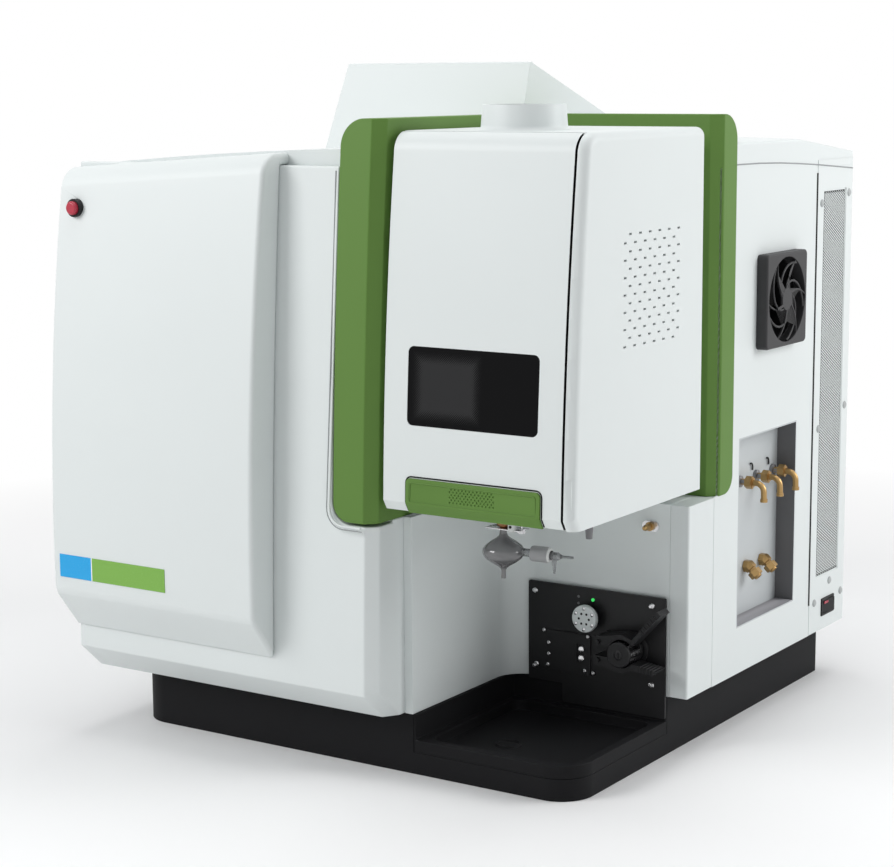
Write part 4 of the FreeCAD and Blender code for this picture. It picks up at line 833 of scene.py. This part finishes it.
class MakeDoor(Maker, bpy.types.Operator):
    """Dresses the torch door with its window and its dimpled handle"""
    bl_idname = "spectrometer.door"
    bl_label = "Torch door"

    def make(self, sizes):
        mesh = merged("torch_door")
        for vert in mesh.verts:
            near = (vert.co.x - place(4, 0, 0).x) / (9 * MM)
            vert.co.x -= 1.3 * MM * min(1.0, max(0.0, near))
        round_edges(mesh, 0.0008)
        shell = worn(mesh, "torch_door")
        # the door's right end faces, in the gap beside the frame, are painted black as shade
        assign_where(shell, "black_and_painted_shade", lambda spot, facing: facing.x > 0.8
                     and spot.x > place(10, 0, 0).x)
        dress("door_window", 0.0006)
        rim = [on_front("door_handle", x, z) for x, z in HANDLE_RIM]
        tubes("door_handle_rim", [rim], 0.0009, "frame_green", "frame_green", "door",
              bend=0.004, sides=10)
        # a black line round the handle's top and sides is the painted shadow of its pocket
        line = [on_front("torch_door", x, z) for x, z in HANDLE_SHADOW_LINE]
        tubes("door_handle_line", [line], 0.0010, "black_and_painted_shade", "frame_green", "door",
              bend=0.008, sides=8)
        lip()
        handle(sizes)


def chamber():
    """The double cone of smoky glass, and what sits on its clear side arm."""
    outline = ((3.0, 266), (3.0, 276.5), (4.4, 279), (8.0, 282), (16.5, 287), (23.0, 292),
               (25.8, 295.7), (26.6, 300), (25.8, 304.3), (23.0, 308), (15.6, 313.5),
               (9.0, 317.5), (5.6, 320.5), (4.6, 324), (4.6, 355))
    stand_in("spray_chamber", lathed(bmesh.new(), outline, place(*CHAMBER), UP, 40),
             "smoky_glass", math.radians(50))
    for name, finish_name, slot, sides, nodes, outline in (
            ("side_arm", "pale_glass", "smoky_glass", 24, (),
             ((6.2, 22), (5.2, 26), (5.0, 30), (5.0, 44))),
            ("chamber_sleeve_shell", "frosted_glass", SLOT_OF["chamber_sleeve"], 32,
             ("chamber_sleeve",), ((6.0, 37), (9.0, 37.6), (9.8, 40), (9.8, 58), (9.0, 60))),
            ("sleeve_ring", "white_plastic", "white_plastic", 32, (),
             ((8.2, 59.5), (8.9, 60), (8.9, 62.2), (8.2, 62.8))),
            ("sleeve_seal", "dark_plastic", "dark_plastic", 24, (),
             ((4.9, 62.5), (5.9, 63.2), (5.9, 64.6), (4.9, 65.2)))):
        solid(name, lathed(bmesh.new(), outline, ARM_START, ARM, sides), finish_name, slot,
              *nodes)


def clamp():
    """Two sprung plates round a copper ball, with a white block and a knurled screw."""
    mesh = bmesh.new()
    for low, high in (((-141, 21, 329.5), (-90, 43, 331.0)),
                      ((-139, 22, 341.0), (-104, 42, 342.6)),
                      ((-104, 26, 336.0), (-87.5, 38, 338.0))):
        block(mesh, place(*low), place(*high), 0.0004)
    for x, radius, foot, top in ((-128, 3.0, 342, 356), (-108, 3.0, 342, 356),
                                 (-94.8, 1.6, 326, 343)):
        lathed(mesh, ((radius, foot), (radius, top)), place(x, 32, 0), UP, 16)
    stand_in("ball_joint_clamp", mesh, "steel")
    ball = ((5.0, 331), (9.4, 333.4), (11.0, 336.2), (9.4, 339), (6.0, 341))
    solid("clamp_ball", lathed(bmesh.new(), ball, place(-119, 32, 0), UP), "copper", "brass")
    solid("clamp_block", block(bmesh.new(), place(-106, 17.5, 329), place(-98, 26, 342),
                               0.0006), "white_plastic", "steel")
    screw_heads("clamp_block_screw", [place(-102, 17.2, 335.5)], 0.0018, 0.0012, "dark_plastic")
    mesh = bmesh.new()
    x, y = CLAMP_SCREW
    for step in range(24):
        angle = math.tau * step / 24
        ridge = place(x + 4.3 * math.cos(angle), y + 4.3 * math.sin(angle), 326)
        lathed(mesh, ((0.55, 0), (0.55, 5.6)), ridge, UP, 6)
    lathed(mesh, ((4.3, 326), (4.3, 331.6)), place(x, y, 0), UP, 24)
    stand_in("clamp_screw", mesh, "steel")


def peg():
    """The grey peg under the torch compartment, drawn up to its raised underside."""
    mesh = merged("drain_peg")
    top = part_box("drain_peg")[1].z
    for vert in mesh.verts:
        if vert.co.z > top - 1 * MM:
            vert.co.z += 10.5 * MM
    worn(mesh, "drain_peg")


class MakeSampleGlass(Maker, bpy.types.Operator):
    """Dresses the spray chamber, its nebuliser and its clamp"""
    bl_idname = "spectrometer.sample_glass"
    bl_label = "Spray chamber"

    def make(self, sizes):
        dress("nebuliser", finish_name="pale_glass")
        chamber()
        clamp()
        peg()
        dress("side_port_plate", finish_name="steel")
        dress("side_port", 0.0005)


def valve_ports():
    """The valve's pale disc, with six bright fittings and the dark bores inside them."""
    disc = ((17.4, 0), (18.4, 0.8), (18.4, 5.4), (17.6, 6.4))
    stand_in("valve_head", lathed(bmesh.new(), disc, place(VALVE_X, VALVE_FACE + 6.4, VALVE_Z),
                                  FORWARD, 48), "enclosure_white")

    def ring(distance, turn, radius, reach):
        mesh = bmesh.new()
        for step in range(6):
            angle = math.tau * (step + 0.5) / 6 + turn
            spot = place(VALVE_X + distance * math.cos(angle), VALVE_FACE + 0.2,
                         VALVE_Z + distance * math.sin(angle))
            lathed(mesh, ((radius, 0), (radius, reach * 0.7), (radius * 0.7, reach)), spot,
                   FORWARD, 14)
        return mesh
    stand_in("valve_fittings", ring(14.2, 0.0, 2.5, 1.6), "steel")
    solid("valve_bores", ring(7.6, 0.52, 1.7, 0.5), "dark_plastic", "module_black")


def screws():
    """The steel screws of the module's panel and of the plate on it."""
    screw_heads("module_corner_screws", [place(x, 236.2, z) for x, z in MODULE_CORNERS],
                0.0036, 0.0016, "steel")
    screw_heads("sub_plate_screws", [place(x, 234.2, z) for x, z in SUB_PLATE_SCREWS],
                0.0025, 0.0013, "steel")
    mesh = bmesh.new()
    for x, z in LINE_FITTINGS:
        lathed(mesh, ((4.4, 0), (4.4, 3), (3.8, 4), (3.8, 7), (2.8, 7.6)),
               place(x, 234.6, z), (0.35, -0.93, 0.1), 18)
    solid("line_fittings", mesh, "steel", "steel")


def pump_cap():
    """The round cap with a slot on the pump's rotor."""
    low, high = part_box("pump_rotor")
    middle = (low + high) / 2
    spot = Vector((middle.x, low.y + 0.3 * MM, middle.z))
    mesh = lathed(bmesh.new(), ((6.4, 0), (6.4, 0.9), (5.4, 1.5), (4.6, 1.5), (4.4, 0.9)),
                  spot, FORWARD, 28)
    block(mesh, spot + Vector((-0.7, -2.2, -3.6)) * MM, spot + Vector((0.7, 0, 3.6)) * MM)
    solid("pump_cap", mesh, "module_black", "module_black", body="pump")


def lever_ribs():
    """Ribs across the top and the front of the two levers that press the pump's tubes."""
    rear, front = Vector((0, 0.012, 0)), Vector((0, -0.0126, 0))
    upper = [place(x, 213, 165.96 + (x + 26) * 1.157) for x in LEVER_RIBS]
    upper = [(top, top + Vector((0.756, 0, -0.654)) * 6.7 * MM) for top in upper]
    lower = [(place(x, 213, 126.9 - (x + 20) * 0.156),
              place(x, 213, 119.04 - (x + 20) * 0.052)) for x in LEVER_RIBS]
    for name, ribs, node in (("upper_lever_ribs", upper, "upper_clamp"),
                             ("lower_lever_ribs", lower, "lower_clamp")):
        runs = [[top + rear, top + front, foot + front] for top, foot in ribs]
        tubes(name, runs, 0.0013, "dark_plastic", SLOT_OF[node], BODY_OF[node], sides=10)


class MakeModule(Maker, bpy.types.Operator):
    """Dresses the sample module's panel, valve, lamps and pump"""
    bl_idname = "spectrometer.module"
    bl_label = "Sample module"

    def make(self, sizes):
        mesh = merged("module_panel")
        round_edges(mesh, 0.003, 4, lambda spot, edge: abs(
            (edge.verts[0].co - edge.verts[1].co).normalized().y) > 0.9)
        round_edges(mesh, 0.0008)
        worn(mesh, "module_panel")
        shell = dress("status_lamps")
        assign_where(shell, "grey_plastic", lambda spot, facing: spot.x < place(-115, 0, 0).x)
        dress_all(("module_sub_plate", "module_screws", "valve_collar"), 0.0003)
        dress_all(("pump_body", "pump_rotor", "upper_clamp", "lower_clamp"), 0.0006)
        dress("pump_rollers")
        valve_ports()
        screws()
        pump_cap()
        lever_ribs()


def guard():
    """The fan's square guard, with five thin arms that curve from its hub to its ring."""
    low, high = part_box("fan_guard")
    middle = (low + high) / 2
    slot = SLOT_OF["fan_guard"]

    def within(spot, reach):
        return math.hypot(spot.y - middle.y, spot.z - middle.z) < reach * MM
    mesh = merged("fan_guard")
    inside = [face for face in mesh.faces if within(face.calc_center_median(), 50)
              and all(within(vert.co, 58) for vert in face.verts)]
    bmesh.ops.delete(mesh, geom=inside, context="FACES")
    bmesh.ops.holes_fill(mesh, edges=[edge for edge in mesh.edges if edge.is_boundary])
    round_edges(mesh, 0.0012, 2, lambda spot, edge: spot.x > high.x - 1 * MM)
    for vert in mesh.verts:
        vert.co.x = min(vert.co.x, high.x)
    worn(mesh, "fan_guard")
    runs = []
    for arm in range(5):
        run = []
        for share in (step / 14 for step in range(15)):
            reach = 5 + 51.5 * share
            angle = math.tau * arm / 5 + 3.32 - 2.32 * share
            run.append(Vector((high.x - 2.2 * MM, middle.y + reach * math.cos(angle) * MM,
                               middle.z + reach * math.sin(angle) * MM)))
        runs.append(run)
    tubes("fan_guard_arms", runs, 0.0016, slot, slot)
    hub = lathed(bmesh.new(), ((9, -4), (9, -1.6), (7.6, -0.6)),
                 Vector((high.x, middle.y, middle.z)), OUTWARD, 28)
    solid("fan_guard_hub", hub, slot, slot)


def elbows():
    """Three brass elbows that curve down from their nuts to a collar."""
    for name, run, radius, bend, sides in (
            ("pipes", ((21, 334), (38.4, 334), (38.9, 309)), 0.0042, 0.012, 14),
            ("nuts", ((14, 334), (23, 334)), 0.0072, 0.0, 6),
            ("collars", ((38.9, 313), (38.9, 308.6)), 0.0051, 0.0, 18)):
        runs = [[place(x, y, z) for x, z in run] for y in ELBOWS]
        tubes("gas_elbow_" + name, runs, radius, "brass", "brass", bend=bend,
                          sides=sides)
    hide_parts("gas_elbows")


def water_fittings():
    """Two brass fittings that leave the plate and turn down and out in two hexagon nuts."""
    for number, y in enumerate(WATER_FITTINGS, 1):
        mesh = lathed(bmesh.new(), ((8.4, 0), (9.0, 0.6), (9.0, 8), (8.2, 9)),
                      place(1, y, 211), OUTWARD, 6)
        for sides, outline in (
                (6, ((8.2, -5), (8.6, -4), (8.6, 3), (7.4, 4), (6.2, 4.2), (6.2, 7))),
                (6, ((8.4, 6.6), (9.4, 7.2), (9.4, 15.2), (8.4, 16), (5.0, 16.1), (5.0, 14))),
                (20, ((5.6, 16), (5.6, 18.5), (3.8, 18.6), (3.6, 16)))):
            lathed(mesh, outline, place(9, y, 210), (0.73, 0, -0.68), sides)
        stand_in(f"water_fitting_{number}", mesh, "brass", math.radians(30))


def hooks():
    """Two small black hooks that arch over the bulkheads on the plate."""
    runs = [[place(3, y + 5 * math.cos(turn), 347 + 7 * math.sin(turn))
             for turn in (1.9, 1.5, 1.1, 0.7, 0.3, -0.1, -0.5)] for y in HOOKS]
    tubes("recess_hooks", runs, 0.0012, "dark_plastic", "dark_plastic", sides=8)


class MakeServiceSide(Maker, bpy.types.Operator):
    """Dresses the service recess, its brass fittings and the fan"""
    bl_idname = "spectrometer.service_side"
    bl_label = "Service side"

    def make(self, sizes):
        shell = dress("service_recess", finish_name="recess_grey")
        # the recess's forward-facing walls and its floor get darker copies of its grey as painted
        # shade
        assign_where(shell, "recess_wall_painted_shade", lambda spot, facing: facing.y < -0.7)
        assign_where(shell, "recess_floor_painted_shade", lambda spot, facing: facing.z > 0.7)
        shell = dress("gas_bulkheads")
        assign_where(shell, "dull_steel", lambda spot, facing: spot.x < place(9.5, 0, 0).x)
        elbows()
        water_fittings()
        hooks()
        guard()
        dress("fan_frame")
        dress("fan_rotor", finish_name="black_and_painted_shade")


def perforated_sheet(sizes):
    """A sheet of six-sided cells, each with a hole, in staggered columns."""
    low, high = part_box("vent_mesh")
    size = high - low
    tree = Grower("PerforatedSheet", [("Pitch", "Float", sizes.mesh_pitch),
                                      ("Web", "Float", sizes.mesh_wire),
                                      ("Skin", "Float", size.x * 0.2)])
    pitch = tree.input("Pitch")
    reach = pitch / math.sqrt(3)
    circle = tree.add("GeometryNodeMeshCircle", {"Vertices": 6, "Radius": reach})
    spot = tree.add("GeometryNodeInputPosition")
    inward = tree.add("ShaderNodeVectorMath",
                      {0: spot, "Scale": tree.input("Web") / pitch * -1.333},
                      operation="SCALE")
    face = tree.add("GeometryNodeExtrudeMesh",
                    {"Mesh": circle, "Offset": inward, "Offset Scale": 1.0}, mode="EDGES")
    rim = Value(tree, face.socket.node.outputs["Top"])
    down = tree.add("ShaderNodeCombineXYZ", {2: 0 - tree.input("Skin")})
    cell = tree.add("GeometryNodeExtrudeMesh",
                    {"Mesh": face, "Selection": rim, "Offset": down, "Offset Scale": 1.0},
                    mode="EDGES")
    columns = int(size.y / (sizes.mesh_pitch * math.sqrt(3) / 2)) - 1
    rows = int(size.z / sizes.mesh_pitch) - 1
    grid = tree.add("GeometryNodeMeshGrid",
                    {"Size X": pitch * (math.sqrt(3) / 2 * (columns - 1)),
                     "Size Y": pitch * (rows - 1), "Vertices X": columns,
                     "Vertices Y": rows})
    step = tree.add("GeometryNodeInputIndex") / rows
    odd = step.math("FLOOR").math("MODULO", 2.0)
    shift = tree.add("ShaderNodeCombineXYZ", {1: (odd - 0.5) * pitch * 0.5})
    grid = tree.add("GeometryNodeSetPosition", {0: grid, "Offset": shift})
    sheet = tree.add("GeometryNodeInstanceOnPoints", {"Points": grid, "Instance": cell})
    sheet = tree.add("GeometryNodeRealizeInstances", {0: sheet})
    middle = (low + high) / 2
    sheet = tree.add("GeometryNodeTransform",
                     {0: sheet, "Translation": (high.x - 0.02 * MM, middle.y, middle.z),
                      "Rotation": (math.pi / 2, 0, math.pi / 2)})
    tree.close(sheet, FINISHES["enclosure_white"])
    thing = tree.run(points_object("vent_sheet", [(0, 0, 0)]))
    add_piece(thing, "vent_sheet", "chassis", None, "mesh_grey", "vent_mesh")
    # a black slab behind the sheet is painted shade seen through its holes
    slabs("vent_dark", [(low + Vector((0.02, 0, 0)) * MM,
                         Vector((high.x - 0.3 * MM, high.y, high.z)))],
          "black_and_painted_shade", "mesh_grey")
    deep, tall = Vector((0, 2 * MM, 0)), Vector((0, 0, 2 * MM))
    across, up = Vector((size.x, 0, size.z)), Vector((size.x, size.y, 0))
    slabs("vent_border", [(low, low + across + deep), (high - across - deep, high),
                          (low, low + up + tall), (high - up - tall, high)],
          "enclosure_white", "mesh_grey")


class MakeVent(Maker, bpy.types.Operator):
    """Makes the perforated sheet and dresses the rocker, screws and mains inlet"""
    bl_idname = "spectrometer.vent"
    bl_label = "Vent and power"

    def make(self, sizes):
        perforated_sheet(sizes)
        dress_all(("power_rocker_bezel", "power_rocker", "power_inlet"), 0.0005)
        dress("rocker_pin")
        dress("panel_screws", finish_name="screw_grey")
        where = meets("power_rocker", place(100, 693, 117.5), (-1, 0, 0))
        slabs("rocker_mark", [(where + Vector((-0.8, -13, -1.6)) * MM,
                               where + Vector((0.15, 13, 1.6)) * MM)],
              "button_red", "button_red", "rocker")


def camera():
    """The camera at the photograph's place, from the lines of its straight edges."""
    data = bpy.data.cameras.new("camera")
    data.sensor_width = 36
    data.lens = 86.473
    data.clip_end = 30
    camera = bpy.data.objects.new("camera", data)
    bpy.context.scene.collection.objects.link(camera)
    yaw, pitch, roll = (math.radians(angle) for angle in CAMERA_TURN)
    turn = (Matrix.Rotation(yaw, 4, "Z") @ Matrix.Rotation(math.pi / 2 - pitch, 4, "X")
            @ Matrix.Rotation(roll, 4, "Z"))
    camera.matrix_world = Matrix.Translation(place(*CAMERA_SPOT)) @ turn
    bpy.context.scene.camera = camera


def floor():
    mesh = bmesh.new()
    bmesh.ops.create_grid(mesh, x_segments=8, y_segments=8, size=8.0)
    thing = loose_mesh("floor", mesh)
    thing.data.materials.append(floor_finish())


def floor_finish():
    """Pale near the object, so that its shadow shows, and plain white further out."""
    material = finish("floor_white", moulded((0.94, 0.94, 0.94), 0.7, 40.0, 0.00002, 0.004))
    tree = Shader(material)
    nodes = material.node_tree.nodes
    across, along, _ = tree.axes()
    distance = (across * across + along * along).math("SQRT")
    fade = ((distance - 0.9) / 1.1).clamped()
    plain = tree.add("ShaderNodeEmission", {"Color": (1, 1, 1, 1), "Strength": 1.0})
    near = Value(tree, nodes["Principled BSDF"].outputs[0])
    both = tree.add("ShaderNodeMixShader", {0: fade, 1: near, 2: plain})
    tree.feed(nodes["Material Output"].inputs["Surface"], both)
    return material


def lamps():
    for name, spot, aim, size, power in (
            ("key", (-1.7, -2.7, 2.2), (0, 0, 0.40), 1.6, 61),
            ("side", (2.4, 1.2, 1.6), (0.2, 0.1, 0.40), 1.6, 40),
            ("top", (0.0, 0.2, 3.4), (0, 0, 0.5), 2.4, 44)):
        data = bpy.data.lights.new(name, "AREA")
        data.size = size
        data.energy = power
        lamp = bpy.data.objects.new(name, data)
        bpy.context.scene.collection.objects.link(lamp)
        lamp.location = spot
        lamp.rotation_euler = (Vector(aim) - Vector(spot)).to_track_quat("-Z", "Y").to_euler()


def world():
    """Soft even light, and plain white for the camera, in reflections and through glass."""
    world = bpy.data.worlds.new("studio")
    bpy.context.scene.world = world
    world.use_nodes = True
    tree = Tree(world.node_tree)
    rays = tree.add("ShaderNodeLightPath").socket.node.outputs
    camera, glossy, passed = (Value(tree, rays[f"Is {kind} Ray"])
                              for kind in ("Camera", "Glossy", "Transmission"))
    shown = camera.math("MAXIMUM", glossy).math("MAXIMUM", passed)
    light = tree.mix(shown, (0.29, 0.295, 0.305, 1), (1, 1, 1, 1))
    tree.feed(world.node_tree.nodes["Background"].inputs["Color"], light)
    bpy.context.scene.view_settings.view_transform = "Standard"


class MakeStage(Maker, bpy.types.Operator):
    """Sets the camera, the lamps, the pale floor and the world"""
    bl_idname = "spectrometer.stage"
    bl_label = "Stage"

    def make(self, sizes):
        camera()
        floor()
        lamps()
        world()


class SpectrometerPanel(bpy.types.Panel):
    """Lists the sizes, the colours and what makes each group of pieces"""
    bl_idname = "VIEW3D_PT_spectrometer"
    bl_label = "Spectrometer"
    bl_space_type = "VIEW_3D"
    bl_region_type = "UI"
    bl_category = "Spectrometer"

    def draw(self, context):
        for group in settings():
            column = self.layout.column()
            for name in group.__annotations__:
                column.prop(group, name)
        for operator in OPERATORS:
            self.layout.operator(operator.bl_idname)


OPERATORS = (MakeFinishes, MakeBase, MakeEnclosure, MakeCover, MakeFrame, MakeTorchBox, MakeDoor,
             MakeSampleGlass, MakeModule, MakeServiceSide, MakeVent, MakeStage)
CLASSES = (SpectrometerSizes, SpectrometerColours, *OPERATORS, SpectrometerPanel)


def register():
    for item in CLASSES:
        bpy.utils.register_class(item)
    bpy.types.Scene.spectrometer_sizes = PointerProperty(type=SpectrometerSizes)
    bpy.types.Scene.spectrometer_colours = PointerProperty(type=SpectrometerColours)


def unregister():
    del bpy.types.Scene.spectrometer_colours
    del bpy.types.Scene.spectrometer_sizes
    for item in reversed(CLASSES):
        bpy.utils.unregister_class(item)


def main():
    register()
    for operator in OPERATORS:
        group, name = operator.bl_idname.split(".")
        getattr(getattr(bpy.ops, group), name)()


if __name__ == "__main__":
    main()
